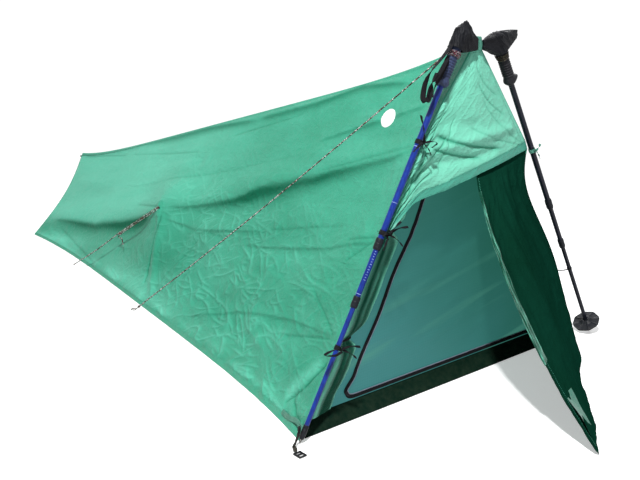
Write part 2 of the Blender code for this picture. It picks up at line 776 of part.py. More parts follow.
def on_skin(skin, point, outward, lift):
    """The spot on a wall's outer face nearest a line that comes in from outside."""
    start = Vector(point) + Vector(outward) * 0.2
    hit = skin.ray_cast(start, -Vector(outward))[0]
    return hit + Vector(outward) * lift


def make_patch(skins):
    """The round white patch near the top of the left wall, with nothing on it."""
    middle = wall_point(LEFT, PATCH_BACK, PATCH_FRACTION)
    outward = Vector((-0.85, -0.10, 0.50)).normalized()
    along = Vector((0.0, 1.0, 0.0))
    along = (along - outward * along.dot(outward)).normalized()
    up = outward.cross(along)
    lifts = (2 * GAP, 2 * GAP + 0.0010)
    bm = bmesh.new()
    rings = []
    for lift in lifts:
        rings.append([])
        for reach in (1.0, 0.5):
            ring = []
            for k in range(20):
                turn = 2.0 * math.pi * k / 20
                spot = middle + (along * math.cos(turn) + up * math.sin(turn)) * PATCH_RADIUS * reach
                ring.append(bm.verts.new(on_skin(skins[LEFT], spot, outward, lift)))
            rings[-1].append(ring)
        rings[-1].append(bm.verts.new(on_skin(skins[LEFT], middle, outward, lift)))
    for wide, narrow, centre in rings:
        for k in range(20):
            n = (k + 1) % 20
            bm.faces.new((wide[k], wide[n], narrow[n], narrow[k]))
            bm.faces.new((narrow[k], narrow[n], centre))
    for k in range(20):
        n = (k + 1) % 20
        bm.faces.new((rings[0][0][k], rings[0][0][n], rings[1][0][n], rings[1][0][k]))
    return finish_mesh("round_patch", bm, "white")


def make_pullout_loop(name, side, skins):
    """A short webbing loop sewn to the middle of a side wall."""
    outward = Vector((side * 0.94, 0.0, -0.34)).normalized()
    part = PULLOUT_HEIGHT / ridge_height(PULLOUT_BACK)
    middle = wall_point(side, PULLOUT_BACK, part)
    seat = on_skin(skins[side], middle, outward, 0.0)
    proud = 0.0
    for step_y in (-LOOP_WIDTH, LOOP_WIDTH):
        for step_z in (-LOOP_HALF_GAP - RIBBON / 2, LOOP_HALF_GAP + RIBBON / 2):
            near = on_skin(skins[side], middle + Vector((0.0, step_y / 2, step_z)), outward, 0.0)
            proud = max(proud, (near - seat).dot(outward))
    seat += outward * (proud + GAP)
    out = seat + outward * LOOP_LENGTH
    gap = Vector((0.0, 0.0, LOOP_HALF_GAP))
    path = [seat + gap, out + gap, out + outward * 0.003, out - gap, seat - gap]
    ribbon(name, path, (0, 1, 0), LOOP_WIDTH, RIBBON, "webbing")
    turn = out + outward * (0.003 + RIBBON + GUY_RADIUS + 0.0008)
    return turn, outward


# Poles


def make_pole_axis(name, side):
    """The empty that a pole's pieces hang on. Its Z is the axis of the pole's slides and twists."""
    axis = bpy.data.objects.new(name, None)
    TENT.objects.link(axis)
    axis.matrix_world = pole_frame(side)
    return axis


def tube_profile(outer, start, end, plug):
    """A tube from start to end. With a plug, its top is closed but for the expander's stud."""
    bore = outer - TUBE_WALL
    if not plug:
        return [(outer, end), (outer, start), (bore, start), (bore, end)]
    stud = STUD_RADIUS + GAP
    return [(outer, end), (outer, start), (bore, start), (bore, end - PLUG_LENGTH),
            (stud, end - PLUG_LENGTH), (stud, end)]


def collar_profile(tube, inner_tube, at):
    """A lock collar that covers the end of a tube and guides the thinner tube inside it."""
    low = at - COLLAR_LENGTH / 2
    high = at + COLLAR_LENGTH / 2
    outer = tube + COLLAR_WALL
    shelf = at - 0.002
    return [(tube + GAP, high), (outer * 0.93, high), (outer, high - 0.004), (outer, low + 0.006),
            (outer * 0.9, low), (inner_tube + GAP, low), (inner_tube + GAP, shelf), (tube + GAP, shelf)]


def make_expander(name, bore, seat_at, parent):
    """The plug that grips a tube from inside when the thinner tube is twisted."""
    outer = bore - GAP
    low = seat_at + GAP
    high = low + EXPANDER_LENGTH
    profile = [(0.0, high), (outer * 0.8, high), (outer, high - 0.003), (outer, low + 0.002),
               (outer * 0.85, low), (STUD_RADIUS, low), (STUD_RADIUS, low - STUD_LENGTH),
               (0.0, low - STUD_LENGTH)]
    item = turned(name, profile, "black_plastic", parent, steps=12, closed=False)
    bm = bmesh.new()
    length = EXPANDER_LENGTH * 0.75
    size = Matrix.Diagonal((SLIT_WIDTH, outer * 3, length, 1.0))
    spot = Matrix.Translation((0.0, 0.0, high - length / 2 + 0.0005))
    bmesh.ops.create_cube(bm, size=1.0, matrix=spot @ size)
    slit = finish_mesh(name + "_slit", bm, "black_plastic", parent)
    boolean(item, slit, "DIFFERENCE")
    return item


def grip_profile():
    """The grip from its head to its foot, then up its bore."""
    bore = UPPER_RADIUS + GAP
    top = POLE_LENGTH
    lashing_top = LASHING_AT + (LASHING_TURNS + 1) * LASHING_PITCH
    profile = [(0.0, top), (0.011, top - 0.001), (0.017, top - 0.006), (GRIP_HEAD_RADIUS, top - 0.014),
               (GRIP_HEAD_RADIUS, top - 0.034), (GRIP_RADIUS, lashing_top),
               (GRIP_RADIUS, LASHING_AT - 0.004)]
    rib_top = LASHING_AT - 0.006
    rib_low = GRIP_BOTTOM_AT + 0.028
    pitch = (rib_top - rib_low) / GRIP_RIBS
    for rib in range(GRIP_RIBS):
        high = rib_top - rib * pitch
        profile += [(GRIP_RADIUS + GRIP_RIB_HEIGHT, high - 0.15 * pitch),
                    (GRIP_RADIUS + GRIP_RIB_HEIGHT, high - 0.55 * pitch),
                    (GRIP_RADIUS - 0.0006, high - 0.75 * pitch)]
    profile += [(HAND_REST_RADIUS, GRIP_BOTTOM_AT + 0.014), (HAND_REST_RADIUS, GRIP_BOTTOM_AT + 0.008),
                (0.0135, GRIP_BOTTOM_AT), (bore, GRIP_BOTTOM_AT), (bore, top - GRIP_SOCKET),
                (0.0, top - GRIP_SOCKET)]
    return profile


def make_grip(name, side, axis):
    """A moulded grip with ribs and a hand rest that juts out on the outer side."""
    item = turned(name, grip_profile(), "grip", axis, steps=16, closed=False)
    bm = bmesh.new()
    spot = Matrix.Translation((side * 0.016, -0.002, GRIP_BOTTOM_AT + 0.0125))
    size = Matrix.Diagonal((0.0155, 0.014, 0.0065, 1.0))
    bmesh.ops.create_uvsphere(bm, u_segments=14, v_segments=8, radius=1.0, matrix=spot @ size)
    rest = finish_mesh(name + "_hand_rest", bm, "grip", axis)
    bore = turned(name + "_bore", [(0.0, GRIP_BOTTOM_AT + 0.04), (UPPER_RADIUS + GAP, GRIP_BOTTOM_AT + 0.04),
                                   (UPPER_RADIUS + GAP, GRIP_BOTTOM_AT - 0.01), (0.0, GRIP_BOTTOM_AT - 0.01)],
                  "grip", axis, steps=16, closed=False)
    boolean(rest, bore, "DIFFERENCE")
    boolean(item, rest, "UNION")
    return item


def make_lashing(name, side, axis):
    """Cord wound round a grip under its boot."""
    radius = GRIP_RADIUS + GAP + CORD_RADIUS
    per_turn = 16
    count = int(LASHING_TURNS * per_turn)
    points = []
    for k in range(count + 1):
        turn = 2.0 * math.pi * k / per_turn * -side + (math.pi if side == LEFT else 0.0)
        points.append((radius * math.cos(turn), radius * math.sin(turn),
                       LASHING_AT + LASHING_PITCH * k / per_turn))
    least = min((Vector(a) - Vector(b)).length for i, a in enumerate(points) for b in points[i + 10:])
    print(name, "least gap between turns, mm:", round(1000 * (least - 2 * CORD_RADIUS), 2))
    return cord(name, points, CORD_RADIUS, "cord", axis, resolution=1)


def make_tip(name, axis):
    """The plastic ferrule and its hard point."""
    low = LOWER_RADIUS + GAP
    end = FERRULE_LENGTH
    profile = [(0.0, TUBE_IN_TIP), (low, TUBE_IN_TIP), (low, end), (FERRULE_RADIUS, end),
               (FERRULE_RADIUS, TUBE_IN_TIP - 0.003), (0.0060, 0.0135), (0.0036, 0.0125),
               (POINT_RADIUS, TIP_LIFT + 0.001), (POINT_RADIUS, TIP_LIFT), (0.0, TIP_LIFT)]
    return turned(name, profile, "steel", axis, steps=14, closed=False)


def make_basket(name, axis):
    """A snow basket on the ferrule: a hub and a shallow dish with raised ribs and a scalloped rim."""
    hub = FERRULE_RADIUS + GAP
    high = BASKET_AT
    low = high - BASKET_DEPTH
    loops = [(hub, high, 0.0), (hub + 0.003, high, 0.0), (hub + 0.005, high - 0.005, 0.0),
             (BASKET_RADIUS * 0.6, high - 0.007, 1.0), (BASKET_RADIUS * 0.93, low + 0.001, 1.0),
             (BASKET_RADIUS, low - 0.0005, 0.3), (BASKET_RADIUS * 0.96, low - BASKET_THICKNESS, 0.0),
             (BASKET_RADIUS * 0.6, high - 0.007 - BASKET_THICKNESS, 0.0),
             (hub + 0.005, high - 0.005 - BASKET_THICKNESS, 0.0), (hub + 0.003, low - 0.004, 0.0),
             (hub, low - 0.004, 0.0)]
    per_rib = 4
    count = BASKET_RIBS * per_rib
    bm = bmesh.new()
    rings = []
    for radius, height, rib in loops:
        ring = []
        for k in range(count):
            turn = 2.0 * math.pi * k / count
            on_rib = 1.0 if k % per_rib == 0 else 0.0
            rim = smooth_step((radius / BASKET_RADIUS - 0.6) / 0.3)
            reach = radius * (1.0 - BASKET_SCALLOP * rim * (1.0 - on_rib))
            lift = height + BASKET_RIB_HEIGHT * rib * on_rib
            ring.append(bm.verts.new((reach * math.cos(turn), reach * math.sin(turn), lift)))
        rings.append(ring)
    for one, two in zip(rings, rings[1:] + rings[:1]):
        for k in range(count):
            n = (k + 1) % count
            bm.faces.new((one[k], one[n], two[n], two[k]))
    return finish_mesh(name, bm, "black_plastic", axis)


def make_pole(side, name):
    """One telescopic trekking pole: three tubes, two twist locks, a grip and a tip."""
    axis = make_pole_axis(name + "_pole_axis", side)
    upper_bore = UPPER_RADIUS - TUBE_WALL
    middle_bore = MIDDLE_RADIUS - TUBE_WALL
    middle_top = UPPER_LOCK_AT + TUBE_OVERLAP
    lower_top = LOWER_LOCK_AT + TUBE_OVERLAP
    upper_top = POLE_LENGTH - GRIP_SOCKET - GAP
    turned(name + "_upper_tube", tube_profile(UPPER_RADIUS, UPPER_LOCK_AT, upper_top, False),
           "blue_tube", axis)
    turned(name + "_upper_lock_collar", collar_profile(UPPER_RADIUS, MIDDLE_RADIUS, UPPER_LOCK_AT),
           "black_plastic", axis)
    turned(name + "_middle_tube", tube_profile(MIDDLE_RADIUS, LOWER_LOCK_AT, middle_top, True),
           "blue_tube", axis)
    turned(name + "_lower_lock_collar", collar_profile(MIDDLE_RADIUS, LOWER_RADIUS, LOWER_LOCK_AT),
           "black_plastic", axis)
    turned(name + "_lower_tube", tube_profile(LOWER_RADIUS, TUBE_IN_TIP + GAP, lower_top, True),
           "blue_tube", axis)
    make_expander(name + "_upper_expander", upper_bore, middle_top, axis)
    make_expander(name + "_lower_expander", middle_bore, lower_top, axis)
    make_grip(name + "_grip", side, axis)
    make_lashing(name + "_lashing", side, axis)
    make_tip(name + "_tip", axis)
    return axis


# Boots and apex


def ring_points(side, at, radius, count=12):
    frame = pole_frame(side)
    spots = []
    for k in range(count):
        turn = 2.0 * math.pi * k / count
        spots.append(frame @ Vector((radius * math.cos(turn), radius * math.sin(turn), at)))
    return spots


def small_ring(x, y, z, radius, count=6):
    spots = []
    for k in range(count):
        turn = 2.0 * math.pi * k / count
        spots.append((x, y + radius * math.cos(turn), z + radius * math.sin(turn)))
    return spots


def make_boot(name, side, extra, axis_name):
    """A cloth boot over a grip's head, drawn out to the apex of the tent."""
    axis = bpy.data.objects[axis_name]
    points = ring_points(side, BOOT_MOUTH_AT, BOOT_MOUTH_RADIUS)
    points += ring_points(side, POLE_LENGTH - 0.006, BOOT_HEAD_RADIUS) + extra
    boot = hull(name, points, "black_cloth")
    head = GRIP_HEAD_RADIUS + GAP
    top = POLE_LENGTH
    profile = [(0.0, top + GAP), (0.011 + GAP, top - 0.001 + GAP), (0.017 + GAP, top - 0.006 + GAP),
               (head, top - 0.014), (head, BOOT_MOUTH_AT - 0.03), (0.0, BOOT_MOUTH_AT - 0.03)]
    hollow = turned(name + "_hollow", profile, "black_cloth", axis, steps=16, closed=False)
    boolean(boot, hollow, "DIFFERENCE")
    return boot


def make_apex():
    """The two boots and the cloth loop between them at the top of the gable."""
    y = POLE_LINE_Y + POLE_LEAN
    side_gap = APEX_LOOP_WIDTH / 2 + GAP
    left_edge = RIDGE_X - side_gap
    right_edge = RIDGE_X + side_gap
    top = APEX_LOOP_MIDDLE + 0.007
    low = APEX_LOOP_MIDDLE - 0.013
    left_extra = [on_pole(LEFT, BOOT_PEAK_AT)]
    left_extra += small_ring(left_edge, y - 0.004, top, 0.007) + small_ring(left_edge, y - 0.004, low, 0.006)
    make_boot("left_boot", LEFT, left_extra, "left_pole_axis")
    head = pole_ends(RIGHT)[1]
    beak = Vector((head.x + BOOT_BEAK_REACH, y - 0.006, head.z + BOOT_BEAK_RISE))
    chin = Vector((head.x + BOOT_CHIN_REACH, y - 0.008, head.z - BOOT_CHIN_DROP))
    right_extra = [beak, beak + Vector((-0.002, 0.012, -0.004)), chin, chin + Vector((-0.002, 0.014, 0.004))]
    right_extra += small_ring(right_edge, y - 0.004, top - 0.004, 0.007)
    right_extra += small_ring(right_edge, y - 0.004, low, 0.006)
    make_boot("right_boot", RIGHT, right_extra, "right_pole_axis")
    bm = bmesh.new()
    size = Matrix.Diagonal((APEX_LOOP_WIDTH, APEX_LOOP_DEPTH, APEX_LOOP_HEIGHT, 1.0))
    front = FRONT_Y - SEAM_GAP - CLOTH - GAP + lean_at(APEX_LOOP_MIDDLE - APEX_LOOP_HEIGHT)
    spot = Matrix.Translation((RIDGE_X, front - APEX_LOOP_DEPTH - 0.001, APEX_LOOP_MIDDLE))
    bmesh.ops.create_cube(bm, size=1.0, matrix=spot @ size)
    finish_mesh("apex_loop", bm, "cloth")


# Ties


# Each tie: name, side, distance from the pole's tip, tube radius, kind, knot radius, and its loose
# ends as steps away from the knot
TIES = (
    ("left_tie_top", LEFT, 0.905, UPPER_RADIUS, "webbing", 0.0065,
     (((-0.020, -0.006, 0.012), (-0.050, -0.010, -0.008)),
      ((-0.012, -0.008, 0.030), (-0.034, -0.012, 0.082)),
      ((0.010, -0.006, -0.016), (0.018, -0.008, -0.034)))),
    ("left_tie_middle", LEFT, 0.630, UPPER_RADIUS, "webbing", 0.0085,
     (((0.030, -0.004, 0.004), (0.075, -0.002, 0.002)),
      ((-0.012, -0.006, -0.014), (-0.028, -0.010, -0.038)))),
    ("left_tie_bottom", LEFT, 0.286, LOWER_RADIUS, "webbing", 0.0065,
     (((-0.030, -0.008, 0.014), (-0.064, -0.012, 0.008)),
      ((0.020, -0.010, -0.012), (0.046, -0.012, -0.034)))),
    ("right_tie_top", RIGHT, 0.820, UPPER_RADIUS, "pale_webbing", 0.0055,
     (((0.004, -0.006, 0.010), (0.006, -0.010, 0.022)),
      ((0.006, -0.006, -0.012), (0.010, -0.010, -0.026)))),
)


def make_tie(name, side, at, tube, kind, knot, tails):
    """A ribbon tied round a pole, with a knot in front and loose ends."""
    axis = bpy.data.objects[("left" if side == LEFT else "right") + "_pole_axis"]
    inner = tube + GAP
    outer = inner + RIBBON
    tie = turned(name, [(outer, at + RIBBON_WIDTH), (outer, at - RIBBON_WIDTH), (inner, at - RIBBON_WIDTH),
                        (inner, at + RIBBON_WIDTH)], kind, axis, steps=14)
    bm = bmesh.new()
    spot = Matrix.Translation((0.0, -outer - knot + 0.001, at))
    bmesh.ops.create_uvsphere(bm, u_segments=10, v_segments=6, radius=knot, matrix=spot)
    ball = finish_mesh(name + "_knot", bm, kind, axis)
    boolean(tie, ball, "UNION")
    start = pole_frame(side) @ Vector((0.0, -outer - knot, at))
    for number, steps in enumerate(tails):
        path = [start] + [start + Vector(step) for step in steps]
        end = ribbon(name + "_tail_%d" % number, path, (0.25, 1.0, 0.1), RIBBON_WIDTH * 0.8, RIBBON, kind)
        boolean(tie, end, "UNION")
    return tie


def make_right_strand():
    """The thin tie from the right front seam out to the pole."""
    at = RIGHT_TIE_HEIGHT / pole_ends(RIGHT)[1].z * POLE_LENGTH
    axis = bpy.data.objects["right_pole_axis"]
    inner = LOWER_RADIUS + GAP
    outer = inner + RIBBON
    tie = turned("right_tie_bottom", [(outer, at + 0.004), (outer, at - 0.004), (inner, at - 0.004),
                                      (inner, at + 0.004)], "webbing", axis, steps=14)
    height = RIGHT_TIE_HEIGHT
    seam = Vector((seam_x(RIGHT, height) + 0.0016, FRONT_Y + 0.004 + lean_at(height), height))
    start = on_pole(RIGHT, at, outer - 0.0001)
    path = [start, start.lerp(seam, 0.5) + Vector((0.0, 0.0, -0.002)), seam]
    strand = ribbon("right_tie_strand", path, (0, 0, 1), 0.004, RIBBON, "webbing")
    boolean(tie, strand, "UNION")
    return tie


# Ground corners


def make_corner_strap(name, side, skins):
    """The strap at a front corner of the canopy. The left one ends behind the pole's ferrule."""
    outward = Vector((side * 0.85, 0.0, 0.52)).normalized()
    up_wall = Vector((-side * 0.52, 0.0, 0.85))
    lift = STRAP / 2 + 4 * GAP
    start = on_skin(skins[side], wall_point(side, STRAP_BACK, 0.022), outward, lift)
    middle = on_skin(skins[side], wall_point(side, 0.095, 0.022), outward, lift + 0.001)
    path = [start, middle]
    across = [up_wall, up_wall]
    if side == LEFT:
        along = pole_frame(side).to_3x3().col[2]
        path.append(on_skin(skins[side], wall_point(side, 0.045, 0.032), outward, lift + 0.006))
        path.append(on_pole(side, STRAP_AT, 0.0, FERRULE_RADIUS + 0.010))
        path.append(on_pole(side, STRAP_AT, 0.0, FERRULE_RADIUS + 2 * GAP))
        across += [up_wall, along, along]
    else:
        path.append(middle + Vector((0.012, -0.026, 0.000)))
        across.append(up_wall)
    return ribbon(name, path, across, STRAP_WIDTH, STRAP, "pale_webbing")


def make_corner_webbing():
    """Loose black webbing, bunched up between the left corner strap and its buckle."""
    beside_strap = STRAP / 2 + WEBBING_DEPTH / 2 + 2 * GAP
    along = pole_frame(LEFT).to_3x3().col[2]
    end_y = BUCKLE_Y + BUCKLE_LENGTH / 2 + 2 * GAP
    end_z = WEBBING_WIDTH / 2 + 0.001
    path = [on_pole(LEFT, STRAP_AT - 0.004, -beside_strap, FERRULE_RADIUS + 0.011),
            on_pole(LEFT, STRAP_AT - 0.010, -2 * FERRULE_RADIUS, 0.0),
            (BUCKLE_X + 0.018, end_y + 0.026, 0.0180), (BUCKLE_X, end_y + 0.010, end_z),
            (BUCKLE_X, end_y, end_z)]
    across = [along, along, (0.1, 0.0, 1.0), (0.0, 0.0, 1.0), (0.0, 0.0, 1.0)]
    return ribbon("left_corner_webbing", path, across, WEBBING_WIDTH, WEBBING_DEPTH, "webbing")


def make_buckle(name):
    """A ladder-lock buckle: a small frame with a cross bar, lying on the ground."""
    middle = Vector((BUCKLE_X, BUCKLE_Y, BUCKLE_HEIGHT / 2))
    bm = bmesh.new()
    size = Matrix.Diagonal((BUCKLE_WIDTH, BUCKLE_LENGTH, BUCKLE_HEIGHT, 1.0))
    bmesh.ops.create_cube(bm, size=1.0, matrix=Matrix.Translation(middle) @ size)
    body = finish_mesh(name, bm, "black_plastic")
    for number, part in enumerate((-0.24, 0.24)):
        bm = bmesh.new()
        spot = Matrix.Translation(middle + Vector((0.0, part * BUCKLE_LENGTH, 0.0)))
        size = Matrix.Diagonal((BUCKLE_WIDTH - 0.006, BUCKLE_SLOT, 3 * BUCKLE_HEIGHT, 1.0))
        bmesh.ops.create_cube(bm, size=1.0, matrix=spot @ size)
        boolean(body, finish_mesh(name + "_slot_%d" % number, bm, "black_plastic"), "DIFFERENCE")
    return body


# Guylines. Each route's own points, in metres, from the tent out to the ground.
MAIN_GUY_END = (-0.462, 1.222)
SIDE_GUY_END = (-0.385, 1.885)


def make_main_guyline():
    """From the left grip's lashing straight to the ground beside the left wall."""
    start = on_pole(LEFT, 1.172, -(GRIP_RADIUS + 2 * CORD_RADIUS + 2 * GAP + 1.5 * GUY_RADIUS), -0.002)
    end = Vector((*MAIN_GUY_END, GUY_RADIUS + 0.0006))
    route = [start]
    for part in (0.25, 0.5, 0.75):
        spot = start.lerp(end, part)
        spot.z -= 0.012 * math.sin(math.pi * part)
        route.append(spot)
    route.append(end)
    loop = []
    for k in range(1, 9):
        turn = k * math.pi / 5
        loop.append(end + Vector((-0.010 + 0.010 * math.cos(turn), 0.010 * math.sin(turn), 0.0)))
    points = smooth_route(route, 30) + loop
    return cord("main_guyline", points, GUY_RADIUS, "cord")


def make_side_guyline(turn, outward):
    """From the left pull-out to the ground: doubled as far as its hitch, then single."""
    end = Vector((*SIDE_GUY_END, GUY_RADIUS + 0.0006))
    run = (end - turn).normalized()
    apart = outward.cross(run).normalized() * 0.0034
    hitch = turn.lerp(end, 0.42)
    sag = Vector((0.0, 0.0, -0.003))
    route = [end, end.lerp(hitch, 0.5) + sag, hitch - apart, turn - apart + run * 0.006, turn,
             turn + apart + run * 0.006, hitch + apart,
             hitch + apart * 2.2 + Vector((-0.004, -0.012, -0.014)),
             hitch + apart * 2.0 + Vector((-0.010, -0.030, -0.034))]
    return cord("side_guyline", smooth_route(route, 62), GUY_RADIUS, "cord", resolution=1)


# The wrist strap's way down and up again, as steps away from where it leaves the boot
WRIST_STRAP_STEPS = (
    (0.0, 0.0, 0.0), (-0.034, -0.004, -0.027), (-0.084, -0.006, -0.066), (-0.108, -0.006, -0.098),
    (-0.116, -0.006, -0.132), (-0.114, -0.007, -0.144), (-0.107, -0.009, -0.150),
    (-0.100, -0.011, -0.144), (-0.097, -0.013, -0.130), (-0.090, -0.014, -0.100), (-0.074, -0.016, -0.072),
)


def make_wrist_strap():
    """The left pole's wrist strap, hanging from under the boot."""
    top = on_pole(LEFT, BOOT_MOUTH_AT + 0.0045, -(BOOT_MOUTH_RADIUS + WRIST_STRAP / 2), -0.004)
    path = [top + Vector(step) for step in WRIST_STRAP_STEPS]
    return ribbon("left_wrist_strap", path, (0.3, 1.0, 0.2), WRIST_STRAP_WIDTH, WRIST_STRAP, "webbing")


def make_rear_loop():
    """The small loop at the foot end of the ridge."""
    height = ridge_height(TENT_LENGTH) - 0.016
    y = REAR_Y - REAR_INSET + 2 * SEAM_GAP + CLOTH + 2 * GAP
    out = y + LOOP_LENGTH * 0.7
    path = [(RIDGE_X, y, height + LOOP_HALF_GAP), (RIDGE_X, out, height + LOOP_HALF_GAP),
            (RIDGE_X, out + 0.003, height), (RIDGE_X, out, height - LOOP_HALF_GAP),
            (RIDGE_X, y, height - LOOP_HALF_GAP)]
    return ribbon("rear_ridge_loop", path, (1, 0, 0), LOOP_WIDTH, RIBBON, "webbing")


def build():
    walls = {LEFT: make_wall("left_wall", LEFT), RIGHT: make_wall("right_wall", RIGHT)}
    skins = {side: skin_of(item) for side, item in walls.items()}
    make_rear_wall()
    make_ridge_seam()
    make_rear_loop()
    make_beak()
    make_storm_door()
    make_roll(skins)
    make_inner_door(skins)
    make_zip()
    make_slider()
    make_floor(skins)
    make_patch(skins)
    turn, outward = make_pullout_loop("left_pullout_loop", LEFT, skins)
    make_pullout_loop("right_pullout_loop", RIGHT, skins)
    for side, name in ((LEFT, "left"), (RIGHT, "right")):
        make_pole(side, name)
    make_basket("right_basket", bpy.data.objects["right_pole_axis"])
    make_apex()
    for tie in TIES:
        make_tie(*tie)
    make_right_strand()
    make_corner_strap("left_corner_strap", LEFT, skins)
    make_corner_strap("right_corner_strap", RIGHT, skins)
    make_corner_webbing()
    make_buckle("left_corner_buckle")
    make_main_guyline()
    make_side_guyline(turn, outward)
    make_wrist_strap()


build()
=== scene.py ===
# %% [markdown]
# # An ultralight A-frame tent on two trekking poles
# The real tent is a single skin of slippery coated nylon. Two walking poles cross at the top of an
# A-frame, the ridge slopes down to a low foot end, and ties, straps and guylines hold it all tight.
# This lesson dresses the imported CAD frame: every piece is placed from the CAD's own formulas, in
# metres, X to the right along the front, Y back to the foot end, Z up.

# %% Load the frame
import math
import bmesh
import bpy
import numpy as np
from mathutils import Matrix, Vector


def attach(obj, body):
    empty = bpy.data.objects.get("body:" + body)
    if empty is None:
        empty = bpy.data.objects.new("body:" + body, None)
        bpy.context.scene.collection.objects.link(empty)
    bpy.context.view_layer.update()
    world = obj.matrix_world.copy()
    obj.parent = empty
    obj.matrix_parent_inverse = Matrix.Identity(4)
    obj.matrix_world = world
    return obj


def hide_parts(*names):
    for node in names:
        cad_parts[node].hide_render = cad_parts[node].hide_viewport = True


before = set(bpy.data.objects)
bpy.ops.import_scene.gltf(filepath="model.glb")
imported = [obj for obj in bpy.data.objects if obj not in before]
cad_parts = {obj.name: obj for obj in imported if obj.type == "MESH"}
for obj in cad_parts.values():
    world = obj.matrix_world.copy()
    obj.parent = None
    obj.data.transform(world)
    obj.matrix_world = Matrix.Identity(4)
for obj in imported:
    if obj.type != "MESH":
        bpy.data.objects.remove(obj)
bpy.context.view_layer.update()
LEFT, RIGHT = -1, 1
SIDES = ((LEFT, "left"), (RIGHT, "right"))

# %% [markdown]
# ## The camera
# A photograph fixes the camera more surely than taste does. The poles are 1.25 m long, and fitting
# their feet, locks and grips to the picture gave one place and one lens for the camera.


# %% Set the camera
def add_object(name, data):
    """Puts new data into the scene as an object."""
    item = bpy.data.objects.new(name, data)
    bpy.context.scene.collection.objects.link(item)
    return item


CAMERA_TILT, CAMERA_TURN = 0.2819, 0.7043
lens = bpy.data.cameras.new("camera")
lens.lens = 56.25
lens.sensor_width = 36.0
camera = add_object("camera", lens)
camera.location = (-2.2544, -1.9694, 1.3147)
camera.rotation_euler = (math.pi / 2 - CAMERA_TILT, 0.0, -CAMERA_TURN)
bpy.context.scene.camera = camera
bpy.context.scene.view_settings.view_transform = "Standard"
print("camera at", tuple(camera.location))

# %% [markdown]
# ## Small tools for making pieces
# Cloth is easiest to shape as a grid of points from a formula, because the same formula gives the
# panel, its hem and every stitch on it. Each helper makes one object, hangs it on the body that
# carries it and hides the CAD nodes it stands for.


# %% Make a piece from points and faces
def settle(item, finish, nodes=(), body="canopy", smooth=True):
    """Gives a new object its material, its body and the nodes it stands for."""
    item.data.materials.append(finish)
    item.data.polygons.foreach_set("use_smooth", [smooth] * len(item.data.polygons))
    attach(item, body)
    if nodes:
        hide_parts(*nodes)
    return item


def add_piece(name, points, faces, finish, slot, nodes=(), body="canopy", smooth=True):
    mesh = bpy.data.meshes.new(name)
    mesh.from_pydata([tuple(map(float, p)) for p in points], [], [tuple(map(int, f)) for f in faces])
    mesh.update()
    return settle(add_object(name, mesh), finish, nodes, body, smooth)


# %% Grids of points
def plan(wide, high, u=(0.0, 1.0), v=(0.0, 1.0)):
    """The two ways over a sheet: a column of u values and a row of v values."""
    return np.linspace(*u, wide)[:, None], np.linspace(*v, high)[None, :]


def grid_faces(wide, high, round_way=False):
    """Quads over columns and rows of points. Round the way, the last column meets the first."""
    faces = []
    for i in range(wide if round_way else wide - 1):
        left, right = i * high, (i + 1) % wide * high
        faces += [(left + j, right + j, right + j + 1, left + j + 1) for j in range(high - 1)]
    return faces


def ring_faces(rings, count, closed=False):
    """Quads between rings of points. Closed, the last ring meets the first."""
    faces = []
    for i in range(rings if closed else rings - 1):
        low, high = i * count, (i + 1) % rings * count
        faces += [(low + k, low + (k + 1) % count, high + (k + 1) % count, high + k) for k in range(count)]
    return faces


def add_sheet(name, grid, finish, slot="cloth", nodes=(), body="canopy", flip=False):
    """One continuous sheet from a grid of points of shape (columns, rows, 3)."""
    faces = grid_faces(*grid.shape[:2])
    if flip:
        faces = [f[::-1] for f in faces]
    return add_piece(name, grid.reshape(-1, 3), faces, finish, slot, nodes, body)


def store_values(item, name, values):
    """Keeps one value for each point of the mesh, for its finish to read."""
    kept = item.data.attributes.new(name, "FLOAT", "POINT")
    kept.data.foreach_set("value", np.asarray(values, np.float32).ravel())


def show_area(item):
    print(item.name, "area", round(sum(p.area for p in item.data.polygons), 4))


# %% [markdown]
# ## Wrinkle noise
# Cloth under tension wrinkles in long soft ridges, and slack cloth crumples in every direction.
# Both come from one smooth noise over a flat plan of the panel, stretched or folded as needed. The
# noise is written here in a few lines, so that it gives the same folds on each run.


# %% Noise over a plan
def step(value):
    value = np.clip(value, 0.0, 1.0)
    return value * value * (3 - 2 * value)


def bell(value, middle, width):
    return np.exp(-((value - middle) / width) ** 2)


def inside(part, pace, start):
    """Rises from the start of a line and falls to its end, over a share 1 / pace of it."""
    return step(part * pace + start) * step((1.0 - part) * pace + start)


def ripple(x, y, seed):
    """Smooth noise from about -1 to 1 with bumps about one unit wide."""
    table = np.random.RandomState(seed).rand(64, 64) * 2 * np.pi
    x0 = np.floor(x).astype(int)
    y0 = np.floor(y).astype(int)
    fx = x - x0
    fy = y - y0
    sx = fx * fx * fx * (fx * (fx * 6 - 15) + 10)
    sy = fy * fy * fy * (fy * (fy * 6 - 15) + 10)

    def corner(i, j):
        turn = table[(x0 + i) % 64, (y0 + j) % 64]
        return np.cos(turn) * (fx - i) + np.sin(turn) * (fy - j)

    low = corner(0, 0) * (1 - sx) + corner(1, 0) * sx
    high = corner(0, 1) * (1 - sx) + corner(1, 1) * sx
    return 1.6 * (low * (1 - sy) + high * sy)


def crumple(x, y, seed):
    """Sharp-edged crumples: ridges of two sizes, from 0 in the hollows to 1 on the creases."""
    bend_x = x + 0.35 * ripple(x * 0.7, y * 0.7, seed + 5)
    bend_y = y + 0.35 * ripple(x * 0.7 + 9, y * 0.7, seed + 6)
    big = 1 - np.abs(ripple(bend_x, bend_y, seed))
    small = 1 - np.abs(ripple(bend_x * 2.3, bend_y * 2.3, seed + 1))
    return 0.65 * big ** 2 + 0.35 * small ** 2


print("noise range:", round(float(ripple(np.linspace(0, 9, 400), np.full(400, 0.4), 3).max()), 2))

